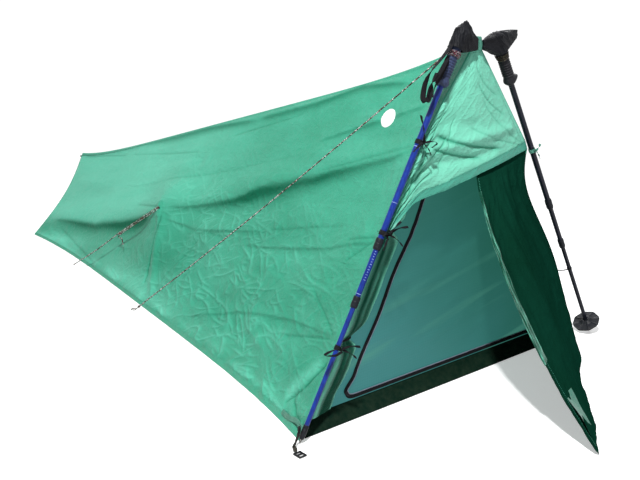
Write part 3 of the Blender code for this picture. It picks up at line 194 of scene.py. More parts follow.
# %% [markdown]
# ## Materials
# The skin of the tent is coated nylon: a tight weave with a soft sheen, crumpled finely all over.
# Webbing and cord are coarser. Effects that several finishes share are shader node groups, built
# once: fine crumples, a weave, and the dust that gathers near the ground. Each material places them
# with its own values. The plain constants of the shader stay on the Principled node itself.
#
# A shader is written here as arithmetic. A Wire is one value in a shader, and each sum, product or
# comparison of wires adds one Math node.


# %% Wires between nodes
class Wire:
    """One value in a shader: an output socket of a node."""

    def __init__(self, socket):
        self.socket = socket

    def __getitem__(self, key):
        return Wire(self.socket.node.outputs[key])

    def __add__(self, other):
        return calc("ADD", self, other)

    def __sub__(self, other):
        return calc("SUBTRACT", self, other)

    def __rsub__(self, other):
        return calc("SUBTRACT", other, self)

    def __mul__(self, other):
        return calc("MULTIPLY", self, other)

    def __truediv__(self, other):
        return calc("DIVIDE", self, other)

    def __pow__(self, other):
        return calc("POWER", self, other)

    def __abs__(self):
        return calc("ABSOLUTE", self)

    def __gt__(self, other):
        return calc("GREATER_THAN", self, other)

    def clip(self):
        """Holds this value between 0 and 1."""
        self.socket.node.use_clamp = True
        return self


def fill(node, inputs):
    """Sets inputs of a node to constants, or links them from wires."""
    for key, value in inputs.items():
        if isinstance(value, Wire):
            node.id_data.links.new(value.socket, node.inputs[key])
        else:
            node.inputs[key].default_value = value


def put(tree, kind, inputs=None, out=0, **settings):
    """Adds a node and gives the wire from one of its outputs."""
    node = tree.nodes.new("ShaderNode" + kind)
    for key, value in settings.items():
        setattr(node, key, value)
    fill(node, inputs or {})
    return Wire(node.outputs[out])


def calc(operation, first, second=0.0):
    tree = (first if isinstance(first, Wire) else second).socket.id_data
    return put(tree, "Math", {0: first, 1: second}, operation=operation)


def mix(factor, first, second):
    """A colour between two colours, which are wires or plain red, green and blue."""
    colours = [c if isinstance(c, Wire) else (*c, 1) for c in (first, second)]
    return put(factor.socket.id_data, "Mix", {0: factor, 6: colours[0], 7: colours[1]}, 2, data_type="RGBA")


def scaled_place(tree, stretch=(1.0, 1.0, 1.0)):
    """The spot on the object in metres, stretched along its axes."""
    place = put(tree, "TexCoord", out="Object")
    return put(tree, "VectorMath", {0: place, 1: stretch}, operation="MULTIPLY")


def noise(place, scale, detail=2.0, **inputs):
    inputs = {"Vector": place, "Scale": scale, "Detail": detail, **inputs}
    return put(place.socket.id_data, "TexNoise", inputs)


# %% Finishes and groups
def new_finish(name):
    made = bpy.data.materials.new(name)
    made.use_nodes = True
    return made, made.node_tree


def finish_with(made, height, inputs):
    """Gives the Principled node its inputs, and the relief as bump."""
    bump = put(made.node_tree, "Bump", {"Strength": 1.0, "Distance": 1.0, "Height": height})
    fill(made.node_tree.nodes["Principled BSDF"], {**inputs, "Normal": bump})
    return made


def new_group(name, inputs, outputs):
    tree = bpy.data.node_groups.new(name, "ShaderNodeTree")
    for label, value in inputs.items():
        socket = tree.interface.new_socket(name=label, in_out="INPUT", socket_type="NodeSocketFloat")
        socket.default_value = value
    for label in outputs:
        tree.interface.new_socket(name=label, in_out="OUTPUT", socket_type="NodeSocketFloat")
    return tree, Wire(tree.nodes.new("NodeGroupInput").outputs[0]), tree.nodes.new("NodeGroupOutput")


# %% Group: fine crumples
def make_crumple_group():
    """Sharp little creases between flat facets, as on stuffed and pitched nylon."""
    tree, given, out = new_group("fine crumples", {"Scale": 22.0, "Softness": 0.3}, ["Height", "Crease"])
    place = scaled_place(tree)
    scale = given["Scale"]
    first = noise(place, scale, 3.0, Roughness=0.55, Distortion=0.7)
    sharp = (1.0 - abs(first - 0.5) * 5.0).clip() ** 2.2
    facets = put(tree, "TexVoronoi", {"Vector": place, "Scale": scale * 0.7, "Smoothness": given["Softness"]},
                 feature="SMOOTH_F1")
    finer = noise(scaled_place(tree, (1.0, 0.8, 2.1)), scale * 1.3, 1.0, Distortion=1.1)
    thin = (1.0 - abs(finer - 0.5) * 9.0).clip() ** 3.0
    fill(out, {"Height": sharp * 0.40 + facets * 0.45 + thin * 0.65, "Crease": sharp})
    return tree


# %% Group: woven threads
TURN_PER_MM = 6283.2  # one turn in radians, for each millimetre of a metre


def make_weave_group():
    """Over and under threads of one pitch, in millimetres, with a stronger thread every so often."""
    tree, given, out = new_group("woven threads", {"Pitch mm": 1.0, "Grid threads": 6.0}, ["Height", "Grid"])
    parts = put(tree, "SeparateXYZ", {0: scaled_place(tree)})
    across = parts[0] + parts[1]
    pace = calc("DIVIDE", TURN_PER_MM, given["Pitch mm"])
    height = calc("SINE", across * pace) * calc("SINE", parts[2] * pace)
    wide_turns = pace / given["Grid threads"]
    lines = [calc("COSINE", way * wide_turns) > 0.93 for way in (across, parts[2])]
    fill(out, {"Height": height, "Grid": calc("MAXIMUM", *lines)})
    return tree


# %% Group: dust and fading
def make_dust_group():
    """Patchy fading everywhere, and dust that thickens towards the ground."""
    tree, given, out = new_group("dust and fading", {"Patch scale": 3.0, "Ground reach": 0.12},
                                 ["Fade", "Dust"])
    place = scaled_place(tree)
    patch = noise(place, given["Patch scale"], 4.0, Roughness=0.6)
    height = put(tree, "SeparateXYZ", {0: place}, 2)
    low = (1.0 - height / given["Ground reach"]).clip()
    grit = noise(place, 60.0, 5.0)
    fill(out, {"Fade": patch, "Dust": low * (grit * 2.4 - 0.7).clip()})
    return tree


CRUMPLES = make_crumple_group()
WEAVE = make_weave_group()
DUST = make_dust_group()
print("node groups:", [g.name for g in bpy.data.node_groups])

# %% [markdown]
# ## One recipe for all the cloths
# A cloth's colour is not one flat value: creases are worn paler and the panel is faded in patches.
# The recipe mixes two tones of the same colour by those masks, and adds the crumples and the weave
# as bump. A mesh may carry two values for it: one is painted shade, which deepens the colour on the
# steep side of a fold, and one is painted light, which makes the cloth paler where it faces the light.


# %% Cloth recipe
WEAVE_DEPTH = 0.00005


def cloth_finish(name, deep, pale, rough=0.45, sheen=0.06, crumple_scale=22.0, crumple_depth=0.0009,
                 weave_mm=1.2, worn=0.06, dusty=0.25, glow=0.0, shine=0.35):
    made, tree = new_finish(name)
    crumples = put(tree, "Group", {"Scale": crumple_scale}, node_tree=CRUMPLES)
    weave = put(tree, "Group", {"Pitch mm": weave_mm}, node_tree=WEAVE)
    fading = put(tree, "Group", node_tree=DUST)
    # Two values that a mesh may carry: painted light and painted shade.
    painted_light, folds = [put(tree, "Attribute", out="Fac", attribute_name=kept)
                       for kept in ("painted_highlight", "painted_fold_shade")]
    tone = (crumples["Crease"] * worn + (fading["Fade"] - 0.32)).clip()
    colour = mix(tone, deep, pale)
    colour = mix(weave["Grid"] * 0.10, colour, deep)
    colour = mix(fading["Dust"] * dusty, colour, (0.20, 0.24, 0.15))
    # Painted light: the colour turns paler by the mesh's painted highlight value.
    colour = mix(painted_light, colour, (pale[0] * 2.1, pale[1] * 1.5, pale[2] * 1.55))
    # Painted shade: the colour turns deeper by the mesh's painted fold shade value, which also dims the
    # shine.
    colour = mix(folds, colour, (deep[0] * 0.06, deep[1] * 0.40, deep[2] * 0.32))
    inputs = {"Base Color": colour, "Roughness": fading["Fade"] * 0.16 + (rough - 0.08),
              "Specular IOR Level": (1.0 - folds).clip() * shine,
              "Sheen Weight": sheen, "Sheen Roughness": 0.45}
    # Painted light: a glowing cloth emits its own colour, standing in for daylight through it.
    if glow:
        inputs.update({"Emission Color": colour, "Emission Strength": glow})
    return finish_with(made, crumples["Height"] * crumple_depth + weave["Height"] * WEAVE_DEPTH, inputs)


canopy_cloth = cloth_finish("canopy nylon", (0.026, 0.262, 0.160), (0.066, 0.400, 0.280), sheen=0.02,
                            crumple_depth=0.0013, shine=0.22, dusty=0.12)
# Painted light: the gable's cloth is a paler copy of the canopy's, for a panel in full light.
painted_lit_gable_cloth = cloth_finish("gable nylon", (0.125, 0.460, 0.330), (0.215, 0.600, 0.460),
                           crumple_scale=20.0, shine=0.20)
hem_cloth = cloth_finish("doubled hem nylon", (0.035, 0.260, 0.185), (0.070, 0.360, 0.265),
                         crumple_scale=40.0, crumple_depth=0.0006)
# Painted shade: the storm door's cloth is a much darker copy of the canopy's, with a faint painted glow.
shade_cloth = cloth_finish("storm door nylon", (0.002, 0.022, 0.012), (0.004, 0.046, 0.030), rough=0.55,
                           sheen=0.0, crumple_scale=16.0, shine=0.0, dusty=0.0, glow=0.06)
# Painted light: the rolled door's cloth has a faint painted glow.
roll_cloth = cloth_finish("rolled door nylon", (0.014, 0.110, 0.074), (0.052, 0.300, 0.205), rough=0.40,
                          crumple_scale=30.0, dusty=0.0, glow=0.04)
floor_cloth = cloth_finish("floor nylon", (0.001, 0.009, 0.005), (0.003, 0.018, 0.011), rough=0.6,
                           sheen=0.0, crumple_scale=30.0, shine=0.05, dusty=0.04)
boot_cloth = cloth_finish("black boot cloth", (0.001, 0.001, 0.002), (0.008, 0.009, 0.012), rough=0.5,
                          sheen=0.0, crumple_scale=45.0, crumple_depth=0.0006, worn=0.5, weave_mm=0.9,
                          shine=0.12, dusty=0.0)
print("cloths:", len(bpy.data.materials))

# %% [markdown]
# ## The inner door's netting cloth
# The inner door is a thin pale netting. Its glow is painted light: the netting emits its own teal
# colour, standing in for daylight through the wall behind it. Its colour turns from blue-green low on
# the left to a darker leaf green high on the right, which is painted shade, and long pale streaks of
# painted light lie across it where the cloth is pulled tight.


# %% Inner door finish
def make_net_finish():
    made, tree = new_finish("inner door netting")
    place = scaled_place(tree)
    parts = put(tree, "SeparateXYZ", {0: place})
    x, z = parts[0], parts[2]
    haze = noise(place, 3.0)
    # Painted shade: the colour drifts darker toward the right and the top.
    shade_drift = (x * 0.9 + z * 0.9 + haze * 0.5).clip()
    colour = mix(shade_drift, (0.046, 0.215, 0.212), (0.016, 0.120, 0.078))
    slanted = put(tree, "CombineXYZ", {0: (z - x * 0.22) * 16.0, 1: x * 1.3})
    bands = put(tree, "TexNoise", {"Vector": slanted, "Scale": 1.0, "Detail": 2.0}, noise_dimensions="2D")
    # Painted highlights: pale streaks across the lower part of the door.
    painted_streak = ((bands - 0.58).clip() * 4.0).clip()
    colour = mix(painted_streak * ((1.0 - z * 2.0).clip() + 0.15).clip(), colour, (0.075, 0.290, 0.215))
    weave = put(tree, "Group", {"Pitch mm": 1.6}, node_tree=WEAVE)
    colour = mix(weave["Grid"] * 0.12, colour, (0.010, 0.080, 0.060))
    # Painted light: the base colour is dimmed, and the netting emits its colour instead.
    dimmed = put(tree, "Mix", {0: 0.72, 6: colour, 7: (0, 0, 0, 1)}, 2, data_type="RGBA")
    return finish_with(made, bands * 0.002 + weave["Height"] * 0.00008, {
        "Base Color": dimmed, "Roughness": haze * 0.2 + 0.55, "Specular IOR Level": 0.2,
        "Emission Color": colour, "Emission Strength": 0.74})


net_cloth = make_net_finish()
print("made:", net_cloth.name)

# %% [markdown]
# ## Hard finishes and cords
# The poles are anodised aluminium, blue on one side of the tent and nearly black on the other, with
# fine scratches along them. Locks, grips and the basket are moulded plastic and rubber with a
# slight grain. The cords have a sheath flecked with white, red and black.


# %% Hard finish recipe
def hard_finish(name, deep, pale, rough=0.5, metal=0.0, grain=140.0, depth=0.0002, stretch=(1, 1, 1),
                coat=0.0, dusty=0.5):
    made, tree = new_finish(name)
    fading = put(tree, "Group", {"Patch scale": 30.0, "Ground reach": 0.06}, node_tree=DUST)
    fine = noise(scaled_place(tree, stretch), grain, 3.0)
    scuff = (((fading["Fade"] + fine) * 0.5 - 0.35).clip() * 2.6).clip()
    colour = mix(fading["Dust"] * dusty, mix(scuff, deep, pale), (0.20, 0.19, 0.15))
    return finish_with(made, fine * depth, {
        "Base Color": colour, "Roughness": fine * 0.22 + (rough - 0.11), "Metallic": metal,
        "Coat Weight": coat, "Specular IOR Level": 0.20})


ALONG_TUBE = {"stretch": (1, 1, 0.08), "depth": 0.00005}
blue_metal = hard_finish("blue anodised tube", (0.001, 0.010, 0.12), (0.003, 0.032, 0.27), rough=0.30,
                         coat=0.15, **ALONG_TUBE)
navy_metal = hard_finish("dark anodised tube", (0.002, 0.003, 0.008), (0.008, 0.010, 0.022), rough=0.34,
                         coat=0.05, dusty=0.2, **ALONG_TUBE)
black_plastic = hard_finish("black moulded plastic", (0.002, 0.003, 0.005), (0.006, 0.008, 0.014),
                            dusty=0.08)
blue_grip = hard_finish("blue grey rubber grip", (0.010, 0.014, 0.035), (0.045, 0.065, 0.140),
                        grain=220.0, depth=0.0005)
dark_grip = hard_finish("black rubber grip", (0.004, 0.004, 0.006), (0.020, 0.020, 0.025), rough=0.55,
                        grain=220.0, depth=0.0005)
steel = hard_finish("ferrule steel", (0.10, 0.10, 0.10), (0.32, 0.31, 0.30), rough=0.35, metal=0.9,
                    depth=0.0001)
pale_mark = hard_finish("pale printed mark", (0.16, 0.24, 0.52), (0.40, 0.50, 0.76))
print("finishes:", len(bpy.data.materials))


# %% Webbing, ribbon and patch recipe
def webbing_finish(name, deep, pale, rib_mm=2.2, depth=0.0005, rough=0.75):
    made, tree = new_finish(name)
    weave = put(tree, "Group", {"Pitch mm": rib_mm, "Grid threads": 3.0}, node_tree=WEAVE)
    fading = put(tree, "Group", {"Patch scale": 45.0, "Ground reach": 0.05}, node_tree=DUST)
    tone = (weave["Height"] * 0.3 + fading["Fade"]).clip()
    colour = mix(fading["Dust"] * 0.5, mix(tone, deep, pale), (0.24, 0.23, 0.17))
    return finish_with(made, weave["Height"] * depth, {
        "Base Color": colour, "Roughness": fading["Fade"] * 0.2 + (rough - 0.1),
        "Specular IOR Level": 0.12})


black_ribbon = webbing_finish("black ribbon", (0.003, 0.003, 0.004), (0.014, 0.014, 0.017))
pale_ribbon = webbing_finish("pale green ribbon", (0.050, 0.210, 0.150), (0.120, 0.340, 0.260))
white_cloth = webbing_finish("white patch cloth", (0.74, 0.72, 0.73), (0.90, 0.88, 0.89), 0.8, 0.00008)
zip_tape = webbing_finish("zip tape", (0.10, 0.12, 0.16), (0.22, 0.25, 0.31), 1.0, 0.0001)
stitch_thread = webbing_finish("green thread", (0.02, 0.16, 0.11), (0.09, 0.36, 0.27), 0.6, 0.0001)


# %% Flecked cord recipe
def cord_finish(name, base, one, two, fleck=330.0):
    """A braided sheath: a base colour with flecks of two others, and the braid as bump."""
    made, tree = new_finish(name)
    cells = put(tree, "TexVoronoi", {"Vector": scaled_place(tree), "Scale": fleck})
    pick = put(tree, "SeparateColor", {0: cells["Color"]})
    colour = mix(pick[1] > 0.74, mix(pick[0] > 0.66, base, one), two)
    return finish_with(made, cells["Distance"] * 0.15,
                       {"Base Color": colour, "Roughness": pick[2] * 0.2 + 0.65})


guy_cord = cord_finish("flecked guyline", (0.94, 0.92, 0.88), (0.30, 0.13, 0.10), (0.10, 0.09, 0.07), 170.0)
left_cord = cord_finish("flecked lashing", (0.62, 0.52, 0.56), (0.45, 0.05, 0.10), (0.04, 0.02, 0.03))
right_cord = cord_finish("tan lashing", (0.13, 0.11, 0.06), (0.06, 0.04, 0.02), (0.01, 0.01, 0.01))
print("materials:", len(bpy.data.materials))

# %% [markdown]
# ## Where everything is: the CAD's own formulas
# The poles lean together in one plane, and the cloth hangs from them. These sizes and formulas
# repeat the ones that the solids were made from, so the cloth lies exactly where the solids are.

# %% Sizes
FOOT_SPAN = 1.349
TOP_SPACING = 0.137
APEX_SHIFT = -0.017
POLE_LENGTH = 1.25
POLE_LINE_Y = -0.0215
POLE_LEAN = -0.020
CLOTH = 0.0025
SEAM_GAP = 0.0004
FRONT_Y = POLE_LINE_Y + 0.0115
TENT_LENGTH = 2.470
REAR_EDGE = TENT_LENGTH - 0.004
RIDGE_X = -0.016
RIDGE_FRONT = 1.066
RIDGE_REAR = 0.360
RIDGE_SAG = 0.048
HEM_FRONT = {LEFT: 0.672, RIGHT: 0.596}
HEM_REAR = {LEFT: 0.301, RIGHT: 0.269}
CORNER_HEIGHT = 0.715
SEAM_BEND = 0.74
TIE_HEIGHT = 0.265
PULLOUT = (1.380, 0.310)


# %% Pole frames
def pole_ends(side):
    foot = Vector((side * FOOT_SPAN / 2, POLE_LINE_Y, 0.0))
    top_x = APEX_SHIFT + side * TOP_SPACING / 2
    run = top_x - foot.x
    height = math.sqrt(POLE_LENGTH ** 2 - run ** 2 - POLE_LEAN ** 2)
    return foot, Vector((top_x, POLE_LINE_Y + POLE_LEAN, height))


def pole_frame(side):
    """A frame on the pole's tip: Z along the pole, Y toward the back of the tent."""
    foot, top = pole_ends(side)
    along = (top - foot).normalized()
    across = Vector((0.0, 1.0, 0.0)).cross(along).normalized()
    turned = Matrix((across, along.cross(across), along)).transposed().to_4x4()
    turned.translation = foot
    return turned


POLE = {side: pole_frame(side) for side in (LEFT, RIGHT)}
ALONG_POLE = {side: tuple(POLE[side].to_3x3().col[2]) for side in (LEFT, RIGHT)}


def on_pole(side, at, inward=0.0, back=0.0):
    return POLE[side] @ Vector((-side * inward, back, at))


def round_pole(side, radius, turn, at):
    return POLE[side] @ Vector((radius * math.cos(turn), radius * math.sin(turn), at))


def turns(steps, count=None):
    """Angles in even steps of a circle, for one whole turn unless a count is given."""
    return [2 * math.pi * k / steps for k in range(count or steps + 1)]


def pole_x(side, height):
    foot, top = pole_ends(side)
    return foot.x + (top.x - foot.x) * height / top.z


def lean_at(height):
    return POLE_LEAN * height / pole_ends(LEFT)[1].z


print("left pole top:", tuple(round(c, 4) for c in pole_ends(LEFT)[1]))


# %% Canopy surface
def ridge_height(back):
    u = np.clip(back / TENT_LENGTH, 0, 1)
    straight = RIDGE_FRONT + (RIDGE_REAR - RIDGE_FRONT) * u
    return straight - RIDGE_SAG * (1 - (2 * u - 1) ** 6) * (1 - 0.3 * u)


def hem_half(side, back):
    u = np.clip(back / TENT_LENGTH, 0, 1)
    return HEM_FRONT[side] + (HEM_REAR[side] - HEM_FRONT[side]) * u - 0.055 * (1 - (2 * u - 1) ** 4)


def seam_x(side, height):
    """Where the front seam of a side wall runs, beside its pole and then to the apex."""
    height = np.asarray(height, float)
    corner = pole_x(side, SEAM_BEND) - side * 0.010
    above = corner + (RIDGE_X - corner) * (height - SEAM_BEND) / (RIDGE_FRONT - SEAM_BEND)
    if side == LEFT:
        below = pole_x(side, height) + 0.010
    else:
        part = np.clip((height - TIE_HEIGHT) / (CORNER_HEIGHT - TIE_HEIGHT), 0, 1)
        below = HEM_FRONT[RIGHT] + (corner - HEM_FRONT[RIGHT]) * height / SEAM_BEND
        below = below - 0.050 * np.sin(np.pi * part ** 1.9)
    return np.where(height >= SEAM_BEND, above, below)


def line_spot(u, v, start, end):
    """For spots in a plan: the part along a line, the distance from it, and the signed distance."""
    run = np.subtract(end, start)
    length = math.hypot(*run)
    part = ((u - start[0]) * run[0] + (v - start[1]) * run[1]) / length ** 2
    held = np.clip(part, 0, 1)
    gap = np.hypot(u - start[0] - run[0] * held, v - start[1] - run[1] * held)
    signed = ((v - start[1]) * run[0] - (u - start[0]) * run[1]) / length
    return part, gap, signed * (1 if run[0] >= 0 else -1)


def fold_spot(u, v, points):
    """For spots in a plan: the part along a line of points, the signed distance and the width."""
    best = np.full(np.shape(u), 9.0)
    part = np.zeros(np.shape(u))
    signed = np.zeros(np.shape(u))
    width = np.full(np.shape(u), points[0][2])
    count = len(points) - 1
    for i, (one, two) in enumerate(zip(points, points[1:])):
        along, gap, apart = line_spot(u, v, one[:2], two[:2])
        held = np.clip(along, 0 if i else None, 1 if i < count - 1 else None)
        near = gap < best
        best = np.where(near, gap, best)
        part = np.where(near, (i + held) / count, part)
        signed = np.where(near, np.where(apart >= 0, gap, -gap), signed)
        width = np.where(near, one[2] + (two[2] - one[2]) * np.clip(along, 0, 1), width)
    return part, signed, width


# %% [markdown]
# ## The folds of a side wall
# Three kinds of fold show on the real walls. A tension fold stands out along a line between two
# pulled points and drops sharply on its lower side, so it carries a dark band, partly from its relief
# and partly painted as shade. A crease is a thin sharp valley, painted darker too. Crumples fill the
# slack cloth low down at the front. All three are added to the plain surface, in a plan of distance
# back and height.

# %% Fold tables
# Broad folds that the solids carry too: from, to, width, height
BASE_FOLDS = (
    ((1.38, 0.330), (0.03, 0.770), 0.045, 0.010), ((1.36, 0.290), (0.10, 0.690), 0.050, -0.012),
    ((1.42, 0.300), (2.42, 0.070), 0.045, 0.008), ((1.40, 0.250), (2.40, 0.030), 0.045, -0.010),
    ((2.44, 0.340), (1.30, 0.520), 0.030, -0.006), ((1.38, 0.310), (1.23, 0.060), 0.022, 0.010),
    ((1.30, 0.300), (0.40, 0.060), 0.060, -0.010), ((0.08, 0.520), (0.60, 0.060), 0.050, 0.010),
)
# Each tension fold is a line of spots (distance back, height, half width of its dark side). The
# surface stands out above the line by RISE times the width, and the line lies on the steep side.
RISE = 0.62
MAIN_FOLD = ((0.020, 0.770, 0.006), (0.094, 0.731, 0.008), (0.246, 0.678, 0.012), (0.397, 0.626, 0.016),
             (0.473, 0.594, 0.019), (0.549, 0.573, 0.022), (0.625, 0.545, 0.025), (0.700, 0.524, 0.025),
             (0.777, 0.501, 0.022), (0.853, 0.468, 0.018), (0.930, 0.441, 0.015), (1.080, 0.397, 0.011),
             (1.240, 0.353, 0.007), (1.345, 0.326, 0.004))
REAR_FOLD = ((1.420, 0.290, 0.008), (1.499, 0.256, 0.016), (1.575, 0.230, 0.021), (1.726, 0.188, 0.024),
             (1.878, 0.154, 0.023), (1.954, 0.133, 0.021), (2.106, 0.112, 0.018), (2.257, 0.093, 0.014),
             (2.420, 0.070, 0.008))
FOLDS = (
    MAIN_FOLD, REAR_FOLD,
    ((0.200, 0.925, 0.008), (0.450, 0.885, 0.013), (0.660, 0.805, 0.013), (1.020, 0.705, 0.010)),
    ((0.980, 0.712, 0.008), (1.360, 0.628, 0.014), (1.560, 0.572, 0.012), (1.900, 0.480, 0.005)),
    ((0.060, 0.880, 0.006), (0.280, 0.800, 0.009), (0.560, 0.700, 0.006)),
    ((0.020, 0.520, 0.004), (0.250, 0.440, 0.006), (0.480, 0.385, 0.006), (0.760, 0.330, 0.004)),
    ((0.030, 0.262, 0.004), (0.300, 0.225, 0.006), (0.600, 0.160, 0.006), (0.900, 0.060, 0.004)),
    ((0.640, 0.400, 0.004), (0.900, 0.345, 0.007), (1.100, 0.305, 0.007), (1.340, 0.290, 0.005)),
)
# Creases: from, to, width, depth
CREASES = (
    ((2.420, 0.352), (1.980, 0.430), 0.006, 0.0035), ((1.980, 0.430), (1.320, 0.545), 0.006, 0.0030),
    ((1.143, 0.630), (0.706, 0.773), 0.006, 0.0030), ((1.365, 0.318), (1.640, 0.285), 0.006, 0.0040),
    ((1.900, 0.300), (0.900, 0.560), 0.006, 0.0012), ((1.750, 0.330), (0.600, 0.650), 0.005, 0.0014),
    ((1.360, 0.305), (1.300, 0.060), 0.006, 0.0060), ((1.300, 0.290), (0.860, 0.330), 0.006, 0.0025),
    ((0.620, 0.410), (0.200, 0.520), 0.006, 0.0025), ((0.040, 0.770), (0.460, 0.620), 0.005, 0.0030),
    ((0.020, 0.535), (0.150, 0.490), 0.005, 0.0040), ((0.020, 0.528), (0.120, 0.440), 0.005, 0.0034),
    ((0.030, 0.262), (0.230, 0.330), 0.005, 0.0035), ((0.030, 0.258), (0.300, 0.180), 0.005, 0.0035),
    ((0.016, 0.205), (0.082, 0.106), 0.006, 0.0080), ((0.082, 0.106), (0.152, 0.043), 0.006, 0.0065),
    ((0.125, 0.075), (0.020, 0.014), 0.007, 0.0065),
    ((2.300, 0.060), (1.800, 0.020), 0.008, 0.0035), ((1.050, 0.300), (1.200, 0.080), 0.005, 0.0014),
    ((0.420, 0.330), (0.640, 0.060), 0.005, 0.0012),
)
PATCH_BACK = 0.236
LINES_SEED = 11
print("tension folds:", len(FOLDS), "creases:", len(CREASES))


# %% Relief of a side wall
def fold_rows(back, height):
    """For each tension fold: signed distance from it, its width, and how present it is."""
    for points in FOLDS:
        part, signed, width = fold_spot(back, height, points)
        yield signed, width, inside(part, 9, 0.2)


def crease_rows(u, v, creases):
    """For each crease: distance from it, its width and depth, and how present it is."""
    for start, end, width, depth in creases:
        part, gap, _ = line_spot(u, v, start, end)
        yield gap, width, depth, inside(part, 6, 0.3)


def base_rise(back, height):
    rise = np.zeros_like(back)
    for start, end, width, amount in BASE_FOLDS:
        rise += amount * bell(line_spot(back, height, start, end)[1], 0, width)
    return rise + 0.040 * bell(np.hypot(back - PULLOUT[0], height - PULLOUT[1]), 0, 0.15)


def slackness(back, height):
    """How slack the cloth is: most of all low down at the front."""
    return bell(back, 0.75, 0.65) * step((0.60 - height) / 0.3)


def crinkle_lines(back, height, seed):
    """Thin broken crests across the cloth, in four directions, from 0 to 1."""
    crest = np.zeros_like(back)
    for turn, pitch, shift in ((0.50, 13.0, 7), (-0.60, 15.0, 9), (0.02, 11.0, 12), (-0.25, 20.0, 15)):
        one = back * math.cos(turn) + height * math.sin(turn)
        two = height * math.cos(turn) - back * math.sin(turn)
        line = 1 - np.abs(ripple(one * pitch * 0.42, two * pitch * 1.6, seed + shift))
        broken = step(0.5 + 1.6 * ripple(back * 7 + shift, height * 11, seed + shift + 1))
        crest = np.maximum(crest, line ** 11 * broken)
    return crest


def fine_rise(side, back, height):
    """The sharper folds, creases and crumples that the solids don't carry."""
    rise = np.zeros_like(back)
    for signed, width, present in fold_rows(back, height):
        crest = (0.5 + 0.5 * np.tanh(2.2 * signed / width)) * bell(np.maximum(signed, 0), 0, 4.5 * width)
        rise += RISE * width * crest * present
    for gap, width, depth, present in crease_rows(back, height, CREASES):
        rise -= depth * np.exp(-(gap / width)) * present
    seed = LINES_SEED if side == LEFT else 37
    along = back * 0.96 - height * 0.28
    across = back * 0.28 + height * 0.96
    rise += 0.0034 * ripple(along * 2.2, across * 17, seed)
    rise += 0.0009 * ripple(along * 4.5, across * 38, seed + 1)
    slack = bell(back, 0.55, 0.62) * step((0.66 - height) / 0.35) + 0.40 * step((0.30 - height) / 0.2)
    rise += 0.0085 * slack * (crumple(back * 4.5 + 3, height * 7.5 + 1, seed + 2) - 0.5)
    rise += 0.0024 * (0.15 + slack) * crinkle_lines(back, height, seed)
    rise += 0.0050 * ripple(back * 20, height * 9, seed + 14) * np.exp(-height / 0.040)
    patch_gap = np.hypot(back - PATCH_BACK, (height - 0.823) / 0.87)
    return rise * (1 - 0.9 * np.exp(-(patch_gap / 0.048) ** 4) * (side == LEFT))


def painted_fold_shade(back, height):
    """How much painted shade deepens the cloth at a spot: on the steep side of each fold, in the creases,
    in the slack belly below the pull-out, low at the front and beside the thin crests, with random clouds."""
    shade = np.zeros_like(back)
    for signed, width, present in fold_rows(back, height):
        above = (np.maximum(signed, 0) / (0.62 * width)) ** 2
        below = (np.maximum(-signed, 0) / (1.35 * width)) ** 1.5
        shade = np.maximum(shade, np.clip(width / 0.022, 0.15, 0.84) * np.exp(-above - below) * present)
    for gap, width, depth, present in crease_rows(back, height, CREASES):
        shade = np.maximum(shade, min(depth / 0.011, 0.5) * np.exp(-(gap / (0.7 * width)) ** 1.5) * present)
    belly = bell(back, 1.24, 0.34) * bell(height, 0.200, 0.080)
    rear = bell(back, 1.60, 0.20) * bell(height, 0.150, 0.050)
    low = step((1.15 - back) / 0.5) * step((0.60 - height) / 0.2) * step((height - 0.03) / 0.1)
    crest = crinkle_lines(back - 0.004, height + 0.005, LINES_SEED) * (0.10 + slackness(back, height))
    cloudy = 0.17 * ripple(back * 2.6 + height * 2, height * 13 + back * 1.5, 95)
    return np.clip(shade + 0.28 * belly + 0.15 * rear + 0.15 * low + 0.32 * crest + cloudy, 0.0, 0.9)


def painted_highlight(back, height):
    """How much painted light makes the cloth paler at a spot: above the folds toward the foot, in a
    broken strip along the hem, on the thin crests, low near the hem half way back and at the front corner."""
    line = np.array(MAIN_FOLD + REAR_FOLD)
    above = height - np.interp(back, line[:, 0], line[:, 1])
    near_ridge = step((height / ridge_height(back) - 0.93) * 12)
    upper = step((back - 0.7) / 1.1) * step((above + 0.02) / 0.06) * (1 - 0.45 * near_ridge)
    tail = step((back - 1.85) / 0.3) * step((-above - 0.03) / 0.05)
    strip = bell(height, 0.024, 0.017) * step(0.5 + 1.3 * ripple(back * 6, height * 30, 91))
    crest = crinkle_lines(back, height, LINES_SEED) * (0.15 + slackness(back, height))
    low = bell(back, 1.45, 0.45) * bell(height, 0.050, 0.050)
    corner = bell(line_spot(back, height, (0.060, 0.175), (0.150, 0.070))[1], 0, 0.022)
    corner = corner * step((0.22 - back) / 0.1) * step((0.26 - height) / 0.1)
    total = 0.58 * upper + 0.40 * tail + 0.42 * strip + 0.50 * crest + 0.40 * low + 0.60 * corner
    return np.clip(total, 0.0, 1.0)


